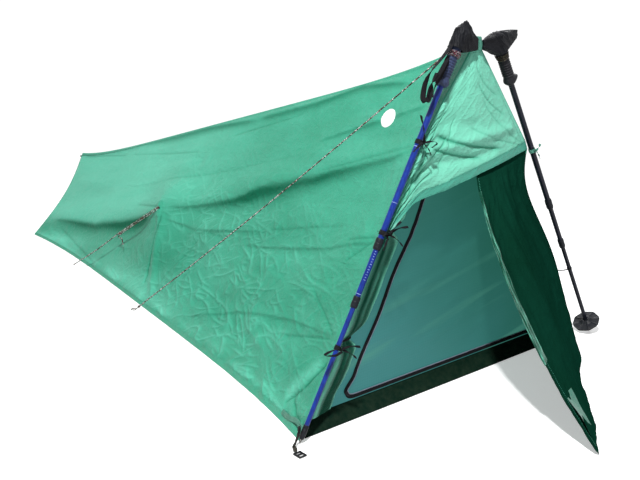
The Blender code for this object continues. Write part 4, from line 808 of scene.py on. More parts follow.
def wall_surface(side, back, part, fine=True, lift=0.0):
    """A side wall's outer face at a distance back and a part of its height."""
    back, part = np.broadcast_arrays(np.asarray(back, float), np.asarray(part, float))
    height = part * ridge_height(back)
    top = RIDGE_X + side * 0.0023
    x = side * hem_half(side, back) * (1 - part) + top * part
    front_line = side * HEM_FRONT[side] * (1 - part) + top * part
    meet = seam_x(side, part * RIDGE_FRONT) + side * 0.0023 * step(part * 4 - 3)
    x = x + (meet - front_line) * np.exp(-back / 0.35)
    x = x - side * 0.037 * np.sin(np.pi * part) * np.exp(-(TENT_LENGTH - back) / 0.3)
    y = FRONT_Y + SEAM_GAP + back + lean_at(height) * np.exp(-back / 0.3)
    to_rear = TENT_LENGTH - back
    calm = step(back / 0.12) * step(to_rear / 0.12) * step(part / 0.12) * step((1 - part) / 0.12)
    rise = base_rise(back, height) * calm
    if fine:
        edge = step(back / 0.02) * step(to_rear / 0.03) * step((part + 0.015) / 0.05)
        rise = rise + fine_rise(side, back, height) * edge * step((1.0 - part) / 0.03)
    x = x + side * (rise + lift) * 0.85
    return np.stack([x, y, height + (rise + lift) * 0.5], axis=-1)


def on_wall(side, back, height, lift=0.0):
    """A point on the dressed wall, from its distance back and its height on the flat plan."""
    return wall_surface(side, back, np.asarray(height, float) / ridge_height(back), lift=lift)


WALL_OUTWARD = {side: (side * 0.87, 0.0, 0.49) for side in (LEFT, RIGHT)}
print("pull-out at", np.round(on_wall(LEFT, *PULLOUT), 3))

# %% [markdown]
# ## Paths, ribbons and turned pieces
# Cords and webbing follow a smooth curve through a few points. Turned pieces are rings of points
# about the pole. Both use many steps, so that no edge looks faceted.


# %% Route helpers
def smooth_route(points, count):
    """Evenly spread points on a smooth curve through a route's own points."""
    knots = [Vector(point) for point in points]
    padded = [knots[0] * 2 - knots[1]] + knots + [knots[-1] * 2 - knots[-2]]
    fine = []
    for i in range(len(knots) - 1):
        a, b, c, d = padded[i:i + 4]
        for number in range(40):
            t = number / 40
            fine.append(0.5 * (2 * b + (c - a) * t + (2 * a - 5 * b + 4 * c - d) * t * t
                               + (3 * b - a - 3 * c + d) * t ** 3))
    fine.append(knots[-1])
    lengths = np.cumsum([0.0] + [(two - one).length for one, two in zip(fine, fine[1:])])
    wanted = np.linspace(0.0, lengths[-1], count)
    spread = [np.interp(wanted, lengths, [p[axis] for p in fine]) for axis in range(3)]
    return [Vector(p) for p in zip(*spread)]


def route_length(points):
    return sum((b - a).length for a, b in zip(points, points[1:]))


def swept(points, ring_at):
    """Points and faces of a shape swept along points. ring_at(i, ahead) gives one ring."""
    rings = []
    for i in range(len(points)):
        ahead = points[min(i + 1, len(points) - 1)] - points[max(i - 1, 0)]
        rings.append(ring_at(i, ahead.normalized()))
    count = len(rings[0])
    spots = [p for ring in rings for p in ring]
    ends = [tuple(range(count))[::-1], tuple(range(len(spots) - count, len(spots)))]
    return spots, ring_faces(len(rings), count) + ends


RIBBON_OUTLINE = ((-0.5, 0.0), (-0.46, -0.4), (-0.25, -0.5), (0.25, -0.5), (0.46, -0.4), (0.5, 0.0),
                  (0.46, 0.4), (0.25, 0.5), (-0.25, 0.5), (-0.46, 0.4))


def add_ribbon(name, path, across, width, thickness, steps, nodes=(), finish=black_ribbon, slot="webbing",
               body="canopy", curl=0.0):
    """A flat band with rounded edges along a smooth path. across is the way its width runs, or a
    list of such ways along the path."""
    points = smooth_route(path, steps)
    across = across if isinstance(across, list) else [across, across]
    stations = np.linspace(0, len(across) - 1, steps)
    ways = list(zip(*[np.interp(stations, range(len(across)), row) for row in zip(*across)]))

    def ring(i, ahead):
        side = Vector(ways[i])
        side = (side - ahead * side.dot(ahead)).normalized()
        lift = ahead.cross(side).normalized()
        turn = curl * math.sin(9.0 * i / steps)
        c, s = math.cos(turn), math.sin(turn)
        side, lift = side * c + lift * s, lift * c - side * s
        return [points[i] + side * a * width + lift * b * thickness for a, b in RIBBON_OUTLINE]

    return add_piece(name, *swept(points, ring), finish, slot, nodes, body)


def add_tube(name, points, radius, finish, slot="cord", nodes=(), sides=10, strand=0.0):
    """A round cord as a mesh tube. strand is how much its twisted strands stand out."""
    guide = Vector((0.31, 0.22, 0.93))

    def ring(i, ahead):
        side = ahead.cross(guide)
        side = side.normalized() if side.length > 0.05 else ahead.orthogonal().normalized()
        up = ahead.cross(side)
        return [points[i] + (side * math.cos(turn) + up * math.sin(turn))
                * (radius * (1 + strand * math.cos(3 * turn + 0.9 * i))) for turn in turns(sides, sides)]

    return add_piece(name, *swept(points, ring), finish, slot, nodes)


def add_turned(name, side, profile, finish, slot, nodes=(), body="canopy", steps=48, shape=None):
    """A piece turned about a pole, from (radius, distance along the pole) points.
    shape(radius, at, turn) may change the radius round the pole."""
    spots = [round_pole(side, shape(radius, at, turn) if shape else radius, turn, at)
             for radius, at in profile for turn in turns(steps, steps)]
    return add_piece(name, spots, ring_faces(len(profile), steps, closed=True), finish, slot, nodes, body)


# %% [markdown]
# ## Stitches
# A row of stitches is what tells the eye that cloth is sewn. Each stitch is a small raised dash that
# sinks into the cloth at both ends, and a whole row is one object.


# %% Stitch rows
DASH = ((-0.5, 0.0, -0.4), (-0.25, 0.5, 0.3), (0.25, 0.5, 0.3), (0.5, 0.0, -0.4), (0.25, -0.5, 0.3),
        (-0.25, -0.5, 0.3), (0.0, 0.0, 1.0))


def add_stitches(name, rows, outward, slot="cloth", body="canopy", pitch=0.0052, length=0.0034,
                 girth=0.0005, finish=stitch_thread):
    """Rows of dashes. Each row is a list of points, and outward is the cloth's outer side."""
    spots, faces = [], []
    lift = Vector(outward).normalized()
    for row in rows:
        row = [Vector(p) for p in row]
        gaps = [(b - a).length for a, b in zip(row, row[1:])]
        travelled = np.concatenate([[0.0], np.cumsum(gaps)])
        for at in np.arange(pitch / 2, travelled[-1], pitch):
            k = max(min(int(np.searchsorted(travelled, at)), len(row) - 1), 1)
            part = (at - travelled[k - 1]) / max(travelled[k] - travelled[k - 1], 1e-9)
            middle = row[k - 1].lerp(row[k], part)
            ahead = (row[k] - row[k - 1]).normalized()
            side = ahead.cross(lift).normalized()
            start = len(spots)
            spots += [middle + ahead * a * length + side * b * girth * 2 + lift * c * girth
                      for a, b, c in DASH]
            faces += [(start + a, start + (a + 1) % 6, start + 6) for a in range(6)]
    return add_piece(name, spots, faces, finish, slot, (), body, smooth=False)


print("helpers ready")

# %% [markdown]
# ## Guylines and the wrist strap
# The cords come first, because they decide how far the tent reaches. Each one repeats the route of
# its CAD solid. The real ones are 2.8 mm braided cord, limp, and pulled tight to the ground. They
# are drawn a little thicker, so that their flecks read from far away.

# %% Guyline routes
GUY = 0.0014
GUY_DRAWN = 0.0021
ON_GROUND = GUY + 0.0006
GRIP_RADIUS = 0.016
LASHING_CORD = 0.0015
PULL_WAY = {side: Vector((side * 0.94, 0.0, -0.34)).normalized() for side in (LEFT, RIGHT)}


def main_guy_route():
    start = on_pole(LEFT, 1.172, -(GRIP_RADIUS + 2 * LASHING_CORD + 0.0006 + 1.5 * GUY), -0.002)
    end = Vector((-0.462, 1.222, ON_GROUND))
    sagging = [start.lerp(end, part) - Vector((0, 0, 0.012 * math.sin(math.pi * part)))
               for part in (0.25, 0.5, 0.75)]
    loop = [end + Vector((-0.010 + 0.010 * math.cos(turn), 0.010 * math.sin(turn), 0.0))
            for turn in turns(20, 17)[1:]]
    return smooth_route([start] + sagging + [end], 90) + loop


def side_guy_route():
    outward = PULL_WAY[LEFT]
    seat = Vector((-0.2314, 1.3703, 0.3450))
    turn = seat + outward * (0.026 + 0.003 + 0.0014 + GUY + 0.0008)
    end = Vector((-0.385, 1.885, ON_GROUND))
    run = (end - turn).normalized()
    apart = outward.cross(run).normalized() * 0.0034
    hitch = turn.lerp(end, 0.42)
    route = [end, end.lerp(hitch, 0.5) + Vector((0.0, 0.0, -0.003)), hitch - apart,
             turn - apart + run * 0.006, turn, turn + apart + run * 0.006, hitch + apart,
             hitch + apart * 2.2 + Vector((-0.004, -0.012, -0.014)),
             hitch + apart * 2.0 + Vector((-0.010, -0.030, -0.034))]
    return smooth_route(route, 150), hitch, run


main_points = main_guy_route()
side_points, HITCH, GUY_RUN = side_guy_route()
print("main guyline", round(route_length(main_points), 3), "side", round(route_length(side_points), 3))

# %% Guylines
main_guyline = add_tube("main_guyline_cord", main_points, GUY_DRAWN, guy_cord, nodes=["main_guyline"],
                        strand=0.12)
side_guyline = add_tube("side_guyline_cord", side_points, GUY_DRAWN, guy_cord, nodes=["side_guyline"],
                        strand=0.12)
main_guyline.visible_shadow = False


def add_hitch(name, middle, ahead, radius, laps):
    """Close turns of cord wrapped round a doubled line."""
    side = ahead.orthogonal().normalized()
    up = ahead.cross(side)
    points = [middle + (side * math.cos(turn) + up * math.sin(turn)) * radius
              + ahead * (turn / (2 * math.pi) - laps / 2) * 0.0029 for turn in turns(12, laps * 12 + 1)]
    add_tube(name, points, GUY, guy_cord, strand=0.1)


add_hitch("side_guyline_hitch", HITCH, GUY_RUN, 0.0052, 4)
add_hitch("main_guyline_hitch", main_points[88], (main_points[89] - main_points[86]).normalized(), 0.0034, 3)

# %% Wrist strap and its spare ends
BOOT_MOUTH_AT = 1.1865
BOOT_MOUTH_RADIUS = 0.0235
STRAP_TOP = on_pole(LEFT, BOOT_MOUTH_AT + 0.0045, -(BOOT_MOUTH_RADIUS + 0.0011), -0.004)
WRIST_STEPS = (
    (0.0, 0.0, 0.0), (-0.034, -0.004, -0.027), (-0.084, -0.006, -0.066), (-0.108, -0.006, -0.098),
    (-0.116, -0.006, -0.132), (-0.114, -0.007, -0.144), (-0.107, -0.009, -0.150),
    (-0.100, -0.011, -0.144), (-0.097, -0.013, -0.130), (-0.090, -0.014, -0.100), (-0.074, -0.016, -0.072),
)
WRIST_WAYS = [(0.3, 1.0, 0.2), (0.55, 0.75, 0.2), (0.85, -0.1, 0.4), (0.5, -0.8, 0.1), (0.3, 1.0, 0.2)]
SPARE_WAYS = [(0.8, 0.3, 0.1), (0.7, -0.5, 0.2), (0.3, 1.0, 0.2)]
SPARE_STEPS = (
    ((0, 0, 0), (-0.022, -0.010, -0.024), (-0.044, -0.012, -0.052), (-0.066, -0.014, -0.078),
     (-0.074, -0.014, -0.106)),
    ((0, 0, 0), (-0.030, -0.014, -0.018), (-0.060, -0.018, -0.048), (-0.090, -0.018, -0.072),
     (-0.092, -0.016, -0.096)),
)
wrist_path = smooth_route([STRAP_TOP + Vector(s) for s in WRIST_STEPS], 110)
wrist_strap = add_ribbon("left_wrist_strap_webbing", wrist_path, WRIST_WAYS, 0.016, 0.0020, 110,
                         ["left_wrist_strap"])
strap_length = round(route_length(wrist_path), 3)
print("wrist strap", strap_length)

spare_start = on_pole(LEFT, 1.156, -0.0215, -0.006)
for number, moves in enumerate(SPARE_STEPS):
    spare_path = smooth_route([spare_start + Vector(m) for m in moves], 60)
    spare = add_ribbon("left_strap_spare_end_%d" % number, spare_path, SPARE_WAYS, 0.012, 0.0016, 60,
                       curl=0.4)
    round(route_length(spare_path), 3)

# %% [markdown]
# ## The side walls
# Each wall is one continuous sheet of nylon, from the hem on the ground to the ridge. The grid is
# closer at the front, where the pole ties pull the cloth into small sharp folds.

# %% Side walls
for side, name, columns, rows in ((LEFT, "left_wall", 640, 290), (RIGHT, "right_wall", 300, 140)):
    spread, parts = plan(columns, rows)
    backs = spread ** 1.25 * REAR_EDGE + 0 * parts
    heights = parts * ridge_height(backs)
    wall = add_sheet(name + "_cloth", wall_surface(side, backs, parts), canopy_cloth, nodes=[name],
                     flip=side == LEFT)
    # Painted shade and painted light for each wall's colour.
    store_values(wall, "painted_fold_shade", painted_fold_shade(backs, heights))
    store_values(wall, "painted_highlight", painted_highlight(backs, heights))
    show_area(wall)

# %% Seams on the side walls
# A doubled hem runs along the ground, and a folded seam along the front edge.
HEM_LIFT = 0.0012
STITCH_LIFT = 0.0018
for side, name in SIDES:
    hem_u, hem_v = plan(300, 5, (0.002, TENT_LENGTH - 0.006), (0.0, 0.022))
    hem = add_sheet(name + "_ground_hem", wall_surface(side, hem_u, hem_v, lift=HEM_LIFT), canopy_cloth,
                    flip=side == LEFT)
    seam_u, seam_v = plan(5, 260, (-0.0004, 0.016), (0.0, 0.985))
    front = add_sheet(name + "_front_seam", wall_surface(side, seam_u, seam_v, lift=HEM_LIFT), canopy_cloth,
                      flip=side == LEFT)
    rows = [wall_surface(side, 0.0135, np.linspace(0.01, 0.98, 400), lift=STITCH_LIFT),
            wall_surface(side, np.linspace(0.01, TENT_LENGTH - 0.01, 900), 0.018, lift=STITCH_LIFT)]
    add_stitches(name + "_wall_stitches", rows, WALL_OUTWARD[side])
    show_area(hem)
    show_area(front)

# %% Piping on the front seams
# A cord of doubled cloth covers the joint between each wall and what hangs in front of it.
PIPING_SHIFT = {LEFT: 0.0002, RIGHT: 0.0010}
# Below the storm door's top, the right piping takes the storm door's darker cloth: painted shade.
for side, name, low, high, finish in ((LEFT, "left", 0.455, 1.048, canopy_cloth),
                                      (RIGHT, "right", 0.700, 1.048, canopy_cloth),
                                      (RIGHT, "right_low", 0.004, 0.700, shade_cloth)):
    heights = np.linspace(low, high, 260)
    line = np.stack([seam_x(side, heights) + PIPING_SHIFT[side], FRONT_Y - 0.0004 + lean_at(heights),
                     heights], -1)
    add_tube(name + "_seam_piping", [Vector(p) for p in line], 0.0029, finish, "cloth", sides=12)

# %% Ridge seam
# The two walls meet in a felled seam: a narrow doubled strip with two rows of stitches.
RIDGE_PROFILE = ((-0.0085, -0.0082), (-0.0045, -0.0030), (0.0, 0.0016), (0.0045, -0.0030), (0.0085, -0.0082))
ridge_line = wall_surface(LEFT, np.linspace(0.0, REAR_EDGE, 400), 1.0, fine=False)
ridge_line[:, 0] = RIDGE_X
strip = ridge_line[:, None, :] + np.array([(x, 0.0, z) for x, z in RIDGE_PROFILE])[None, :, :]
ridge = add_sheet("ridge_seam_strip", strip, canopy_cloth, nodes=["ridge_seam"], flip=True)
show_area(ridge)
for side, name in SIDES:
    row = ridge_line + np.array([side * 0.0064, 0.0, -0.0046])
    add_stitches(name + "_ridge_stitches", [row], (side * 0.6, 0.0, 0.8))

# %% Rear wall
u, v = plan(90, 60)
left_edge, right_edge = [wall_surface(side, REAR_EDGE + 0 * u, v) for side in (LEFT, RIGHT)]
rear = left_edge * (1 - u[..., None]) + right_edge * u[..., None]
wide = np.sin(np.pi * u) * np.sin(np.pi * v) ** 0.7
folds = 0.0035 * ripple(u * 9, v * 2.2, 81) + 0.0015 * (crumple(u * 7, v * 5, 82) - 0.5)
rear[..., 1] += SEAM_GAP + CLOTH + (0.006 + folds) * wide
rear_wall = add_sheet("rear_wall_cloth", rear, canopy_cloth, nodes=["rear_wall"], flip=True)
show_area(rear_wall)

# %% [markdown]
# ## The gable panel
# The panel above the doors hangs from the apex between the two poles and bellies forward. Its lower
# edge is a doubled hem, pulled into gathers by the tie on the left pole and into a fan of thin
# creases by the tie on the right.

# %% Gable surface
GABLE_FOLDS = (((0.10, 0.38), (0.92, 0.26), 0.045, 0.009), ((0.12, 0.28), (0.72, 0.13), 0.040, -0.008),
               ((0.05, 0.62), (0.60, 0.42), 0.050, -0.006), ((0.02, 0.50), (0.40, 0.02), 0.050, 0.008))
GABLE_CREASES = (((0.24, 0.46), (0.80, 0.12), 0.012, 0.0070), ((0.22, 0.38), (0.64, 0.12), 0.010, 0.0060),
                 ((0.12, 0.40), (0.15, 0.14), 0.010, 0.0040), ((0.64, 0.73), (0.92, 0.38), 0.008, 0.0030),
                 ((0.50, 0.95), (0.93, 0.55), 0.008, 0.0025), ((0.98, 0.04), (0.55, 0.42), 0.008, 0.0022),
                 ((0.98, 0.05), (0.70, 0.60), 0.008, 0.0020), ((0.38, 0.55), (0.33, 0.16), 0.006, 0.0030),
                 ((0.03, 0.10), (0.35, 0.42), 0.010, 0.0045), ((0.03, 0.06), (0.28, 0.20), 0.008, 0.0045),
                 ((0.03, 0.16), (0.22, 0.62), 0.010, 0.0040), ((0.02, 0.03), (0.20, 0.07), 0.008, 0.0050))
HEM_RISE = ((0.0, 0.0), (0.10, 0.062), (0.23, 0.100), (0.42, 0.078), (0.65, 0.050), (1.0, 0.0))
GABLE_LEFT, GABLE_RIGHT = 0.580, 0.335
GATHERS = 24
SMOOTH_U = np.linspace(0, 1, 401)
BLUR = np.hanning(41) / np.hanning(41).sum()
HEM_CURVE = np.interp(SMOOTH_U, *np.transpose(HEM_RISE))
HEM_CURVE = np.convolve(np.pad(HEM_CURVE, 20, mode="edge"), BLUR, "valid")


def gable_relief(u, v):
    """The creases, crumples and gathers that the solid doesn't carry."""
    front = 0.0
    for gap, width, depth, present in crease_rows(u, v, GABLE_CREASES):
        front = front - depth * np.exp(-gap / width) * present
    front = front + 0.0014 * ripple(u * 4 + v * 2, v * 9 - u * 3, 51)
    front = front + 0.0010 * (crumple(u * 4.5 + 2, v * 5, 52) - 0.5)
    line = 1 - np.abs(ripple(u * 4 + v * 3, v * 11 - u * 7, 53))
    front = front + 0.0012 * (line ** 7 - 0.2)
    gathers = np.sin(2 * np.pi * GATHERS * v + 2.5 * ripple(u * 3, v * 7, 57)) * step(u / 0.03)
    front = front + 0.0034 * gathers * bell(u, 0, 0.13) * step((0.72 - v) / 0.12)
    waves = np.sin(75 * v + 16 * u) * np.exp(-u * 9) * step(u * 14) * step((0.8 - v) * 3)
    return front * step(u * 20) * step((1 - u) * 20) * step((1 - v) * 14) + 0.0050 * waves


def gable_surface(u, v, lift=0.0):
    """The gable panel's front face, from the left seam to the right and from hem to apex."""
    u, v = np.broadcast_arrays(np.asarray(u, float), np.asarray(v, float))
    left_z = 0.470 + GABLE_LEFT * v
    right_z = CORNER_HEIGHT + GABLE_RIGHT * v
    left_x = seam_x(LEFT, left_z)
    x = left_x + (seam_x(RIGHT, right_z) - left_x) * u
    z = left_z + (right_z - left_z) * u + np.interp(u, SMOOTH_U, HEM_CURVE) * np.clip(1 - v, 0, 1) ** 1.5
    billow = np.sin(np.pi * np.clip(u, 0, 1)) ** 0.8 * np.clip(1 - v, 0, 1) ** 0.6
    folds = 0.003 * np.sin(26 * u + 9 * v) * np.exp(-5 * u)
    for start, end, width, amount in GABLE_FOLDS:
        folds = folds + amount * bell(line_spot(u, v, start, end)[1], 0, width)
    calm = step(u * 12) * step((1 - u) * 12) * step((1 - v) * 6)
    front = (0.030 - 0.012 * bell(u, 0.24, 0.17)) * billow + folds * calm + gable_relief(u, v)
    return np.stack([x, FRONT_Y - SEAM_GAP - CLOTH + lean_at(z) - front - lift, z], axis=-1)


# %% Gable cloth
u, v = plan(220, 150)
gable = add_sheet("gable_panel_cloth", gable_surface(u, v), painted_lit_gable_cloth, nodes=["gable_panel"])
# Painted shade for the gable's colour: in its creases and over its left part below the top.
shade = np.zeros((220, 150))
for gap, width, depth, present in crease_rows(u, v, GABLE_CREASES):
    shade = np.maximum(shade, min(depth / 0.008, 0.8) * np.exp(-(gap / (width * 1.1)) ** 1.5) * present)
shade += 0.42 * bell(u, 0, 0.21) * step((0.85 - v) * 3) * (1 + 0.4 * ripple(u * 9, v * 6, 55))
store_values(gable, "painted_fold_shade", np.clip(shade, 0.0, 0.9))
show_area(gable)


# %% Gable hem and its stitches
def hem_part(u, wide):
    """How far up the panel's own grid a hem of this width reaches."""
    return wide / (GABLE_LEFT * (1 - u) + GABLE_RIGHT * u - 1.5 * np.interp(u, SMOOTH_U, HEM_CURVE))


HEM_WIDE = 0.026
FORWARD = (0.0, -1.0, 0.0)
hem_u, hem_v = plan(220, 7)
gable_hem = add_sheet("gable_hem_band", gable_surface(hem_u, hem_v * hem_part(hem_u, HEM_WIDE), lift=0.0016),
                      hem_cloth)
show_area(gable_hem)
row_u = np.linspace(0.01, 0.99, 300)
hem_rows = [gable_surface(row_u, hem_part(row_u, wide), lift=0.0022) for wide in (0.0235, 0.0040)]
add_stitches("gable_hem_stitches", hem_rows, FORWARD, pitch=0.0058, length=0.0040)
side_rows = [gable_surface(place, np.linspace(0.0, 0.97, 200), lift=0.0010) for place in (0.030, 0.970)]
add_stitches("gable_seam_stitches", side_rows, FORWARD)

# %% [markdown]
# ## The right storm door
# The right storm door is pegged forward, so its tip stands on the ground in front of the poles and
# its free edge falls in a long slack curve. It swings about the right front seam. The cloth is
# seen from its shaded side, and its finish is painted shade, much deeper than the canopy's.

# %% Storm door surface
TIP = (-0.100, -0.600, 0.004)


def storm_surface(u, v, lift=0.0):
    """The storm door's outer face, from its seam to its free edge and from the ground up."""
    u, v = np.broadcast_arrays(np.asarray(u, float), np.asarray(v, float))
    height = 0.004 + (CORNER_HEIGHT - 0.008) * v
    seam = np.stack([seam_x(RIGHT, height) - 0.004, FRONT_Y - SEAM_GAP - CLOTH + lean_at(height), height], -1)
    slack = np.sin(np.pi * np.clip(v, 0, 1)) ** 0.8
    free = np.stack([TIP[0] + 0.095 * v - 0.038 * slack,
                     TIP[1] + (FRONT_Y - 0.034 - TIP[1]) * v + 0.032 * slack, TIP[2] + 0.668 * v], -1)
    spot = seam * (1 - u[..., None]) + free * u[..., None]
    folds = 0.012 * np.sin(3 * np.pi * u + 2.2 * v) * step((1 - v) * 4) * step(u * 4) * step((1 - u) * 5)
    push = 0.035 * np.sin(np.pi * u) * np.sin(np.pi * v) + folds
    relief = 0.0060 * ripple(u * 9 - v * 2.0, v * 1.6 + 3, 61) * step((1 - u) * 9)
    relief = relief + 0.0065 * (crumple(u * 4.2, v * 4.4, 62) - 0.5)
    relief = relief + 0.0035 * (crumple(u * 10, v * 11, 63) - 0.5) * (1.2 - v)
    spot[..., 1] -= push + relief * step(u * 14) * step((1 - v) * 12) + lift * 0.7
    spot[..., 0] -= lift * 0.7
    spot[..., 2] += 0.012 * np.sin(np.pi * u) * (1 - v) ** 3
    return spot


storm_door = add_sheet("right_storm_door_cloth", storm_surface(*plan(190, 200)), shade_cloth, "shade_cloth",
                       ["right_storm_door"], "storm_door", flip=True)
show_area(storm_door)

# %% Storm door edge: zip tape
DOOR_OUTWARD = (-0.7, -0.7, 0.0)
tape_u, tape_v = plan(6, 260, (0.962, 1.004), (0.01, 0.985))
tape = storm_surface(tape_u, tape_v, lift=0.0014)
# The tape takes the storm door's darker cloth: painted shade.
door_tape = add_sheet("storm_door_zip_tape", tape, shade_cloth, "webbing", body="storm_door", flip=True)
show_area(door_tape)

# %% Storm door edge: pale ruffled strip
STRIP_U, STRIP_V = (0.948, 1.010), (0.30, 0.93)
u, v = plan(16, 240, STRIP_U, STRIP_V)
ruffle = ripple(u * 70, v * 16, 61)
edge = step((u - STRIP_U[0]) / 0.012) * step((v - STRIP_V[0]) / 0.03) * step((STRIP_V[1] - v) / 0.03)
strip = storm_surface(u, v, lift=0.0022 + 0.0030 * edge * (1 + ruffle))
pale_strip = add_sheet("storm_door_pale_tape", strip, roll_cloth, "webbing", body="storm_door", flip=True)
# Painted highlights on the ruffles of the strip, and painted shade between them.
glints = np.clip(1.6 * ruffle - 0.05, 0, 1) * np.clip(0.10 + 1.1 * np.abs(v - 0.60) / 0.30, 0, 1)
store_values(pale_strip, "painted_highlight", glints * step(0.6 + 1.6 * ripple(u * 20, v * 44, 63)))
store_values(pale_strip, "painted_fold_shade", np.clip(0.55 - 1.3 * ruffle, 0, 0.95))

# %% Storm door edge: teeth, stitches and a flap
teeth_row = storm_surface(1.002, np.linspace(0.36, 0.90, 200), lift=0.0030)
add_stitches("storm_door_zip_teeth", [teeth_row], DOOR_OUTWARD, "webbing", "storm_door", pitch=0.0046,
             length=0.0024, girth=0.0012, finish=black_ribbon)
tape_row = storm_surface(0.966, tape_v[0], lift=0.0020)
add_stitches("storm_door_tape_stitches", [tape_row], DOOR_OUTWARD, "cloth", "storm_door")
s, t = plan(24, 12)
flap = storm_surface(0.86 + 0.10 * t, 0.03 + 0.14 * s, lift=0.003)
flap[..., 0] -= 0.010 * np.sin(np.pi * t) * (1 - s * 0.5)
flap[..., 1] -= 0.014 * np.sin(np.pi * s) * t
door_flap = add_sheet("storm_door_peg_flap", flap, roll_cloth, body="storm_door", flip=True)
show_area(door_flap)

# %% [markdown]
# ## The left storm door, rolled up
# The left storm door is open: it is rolled about three turns and hangs beside the left pole. It is
# made as the real thing is, as one sheet wound in a spiral, drawn in where the ribbons hold it.
# The rolling is shaped by a formula and not simulated, so its turns never cut each other.


# %% Rolled door
def inner_door_y(height):
    return FRONT_Y + 0.046 + lean_at(height)


def inner_face_x(side, y, height):
    """The inner face of a side wall at a depth y and a height."""
    back = np.maximum(y - FRONT_Y - SEAM_GAP - lean_at(height), 0.0)
    return wall_surface(side, back, height / ridge_height(back), fine=False)[..., 0] - side * (CLOTH + 0.0006)


RIBBONS_AT = (0.250, 0.545)


def roll_reach(height):
    part = (height - 0.075) / 0.565
    waist = 0.42 * (bell(height, RIBBONS_AT[0], 0.022) + bell(height, RIBBONS_AT[1], 0.022))
    return 0.0205 * (0.72 + 0.28 * inside(part, 6, 0.0)) * (1 - waist)


ROLL_TURNS = 3.2
ROLL_WIDE = 2.35
ROLL_DEPTH = 0.0210
s, h = plan(240, 170, v=(0.046, 0.640))
angle = 2 * np.pi * ROLL_TURNS * (1 - s) + 2.4
spiral = 1.0 - 0.62 * s
lobes = 1 + 0.15 * np.cos(3 * angle + 5 * h) + 0.08 * np.cos(7 * angle + 11 * h)
lobes = lobes + 0.05 * ripple(3 * np.cos(angle) + 40 + h * 7, 3 * np.sin(angle) + h * 17, 71)
foot_spread = 1 + 0.40 * step((0.19 - h) / 0.14)
reach = roll_reach(h) * spiral * lobes
x = ROLL_WIDE * reach * foot_spread * np.cos(angle)
y = inner_door_y(h) - ROLL_DEPTH + 0.92 * reach * np.sin(angle) / foot_spread
middle_x = (inner_face_x(LEFT, y, h + 0 * y) - x).max(axis=0) + 0.001
roll = np.stack([x + middle_x, y, h + 0.006 * np.sin(angle + 1.0) * (1 - spiral * 0.3)], -1)
rolled_door = add_sheet("left_storm_door_rolled", roll, roll_cloth, "shade_cloth", ["left_storm_door_roll"],
                        flip=True)
# Painted shade in the valleys between the lobes and over the right half of the roll, and painted light on the
# lobes.
valleys = (1.00 - lobes) / 0.20 + 0.95 * step((np.cos(angle) + 0.05) / 0.7)
store_values(rolled_door, "painted_fold_shade", np.clip(valleys, 0.0, 0.92))
store_values(rolled_door, "painted_highlight", np.clip((lobes - 1.06) / 0.14, 0.0, 0.85))
show_area(rolled_door)
for number, height in enumerate(RIBBONS_AT):
    centre = Vector((np.interp(height, h[0], middle_x), inner_door_y(height) - ROLL_DEPTH, height))
    size = roll_reach(height)
    ring = [centre + Vector((((ROLL_WIDE + 0.11) * size + 0.0012) * math.cos(turn),
                             (1.02 * size + 0.0012) * math.sin(turn), 0.0048 * turn / (2 * math.pi)))
            for turn in turns(56, 61)]
    add_ribbon("roll_ribbon_%d" % number, ring, (0.0, 0.0, 1.0), 0.006, 0.0009, 90)

# %% [markdown]
# ## The inner door and its zip
# The inner door hangs a hand's width behind the poles. Its zip runs down beside the rolled door and
# then along the floor's lip, in an L, and the slider rides the lower leg.


# %% Inner door
def door_face(u, height):
    """The inner door's front face, from its left edge to its right edge at each height."""
    deep = inner_door_y(height) + 0 * u
    left_x = inner_face_x(LEFT, deep, height) + 0.0026
    right_x = inner_face_x(RIGHT, deep, height) - 0.0026
    x = left_x + (right_x - left_x) * u
    slack = np.sin(np.pi * np.clip(u, 0, 1)) ** 0.6 * step((height - 0.065) / 0.10)
    slack = slack * step((0.99 - height) / 0.15) * step((x + 0.55 - height * 0.51) * 14)
    slant = height - 0.24 * x
    relief = 0.0032 * ripple(x * 2.2 + 4, slant * 13, 91) + 0.0016 * ripple(x * 4 + 1, slant * 30, 92)
    relief = relief + 0.0024 * (crumple(x * 5, height * 5, 93) - 0.5)
    return np.stack([x, deep + 0.003 - (0.003 + relief) * slack, height + 0 * u], -1)


inner_door = add_sheet("inner_door_net", door_face(*plan(150, 170, v=(0.0363, 0.998))), net_cloth, "net",
                       ["inner_door"])
show_area(inner_door)


# %% Zip line
def zip_x(height):
    return pole_x(LEFT, height) + 0.010 + 0.180


ZIP_LOW = 0.0485
ZIP_STEPS = 480
ZIP_CORNER = ((-0.0005, 0.030), (0.0025, 0.0165), (0.0095, 0.0065), (0.022, 0.0015), (0.040, 0.0))
corner_x = zip_x(ZIP_LOW)
zip_route = [Vector((zip_x(z), 0.0, z)) for z in (0.690 - 0.02 * k for k in range(30))]
zip_route += [Vector((corner_x + a + 0.006, 0.0, ZIP_LOW + b)) for a, b in ZIP_CORNER]
zip_route += [Vector((x, 0.0, ZIP_LOW)) for x in np.linspace(corner_x + 0.09, 0.420, 22)]
zip_points = smooth_route(zip_route, ZIP_STEPS)
for spot in zip_points:
    spot.x += 0.0035 * math.sin(26.0 * spot.z + 0.6) * step((spot.z - 0.09) / 0.10)
level = np.array([spot.z for spot in zip_points])
edges = [door_face(side_u, level)[:, 0] for side_u in (0.0, 1.0)]
on_door = door_face((np.array([spot.x for spot in zip_points]) - edges[0]) / (edges[1] - edges[0]), level)
for spot, flat_y in zip(zip_points, np.minimum(on_door[:, 1], inner_door_y(level) + 0.0004)):
    spot.y = flat_y - 0.0016


def beside_zip(i):
    """The way across the zip at one of its points."""
    ahead = zip_points[min(i + 1, ZIP_STEPS - 1)] - zip_points[max(i - 1, 0)]
    return Vector(FORWARD).cross(ahead).normalized()


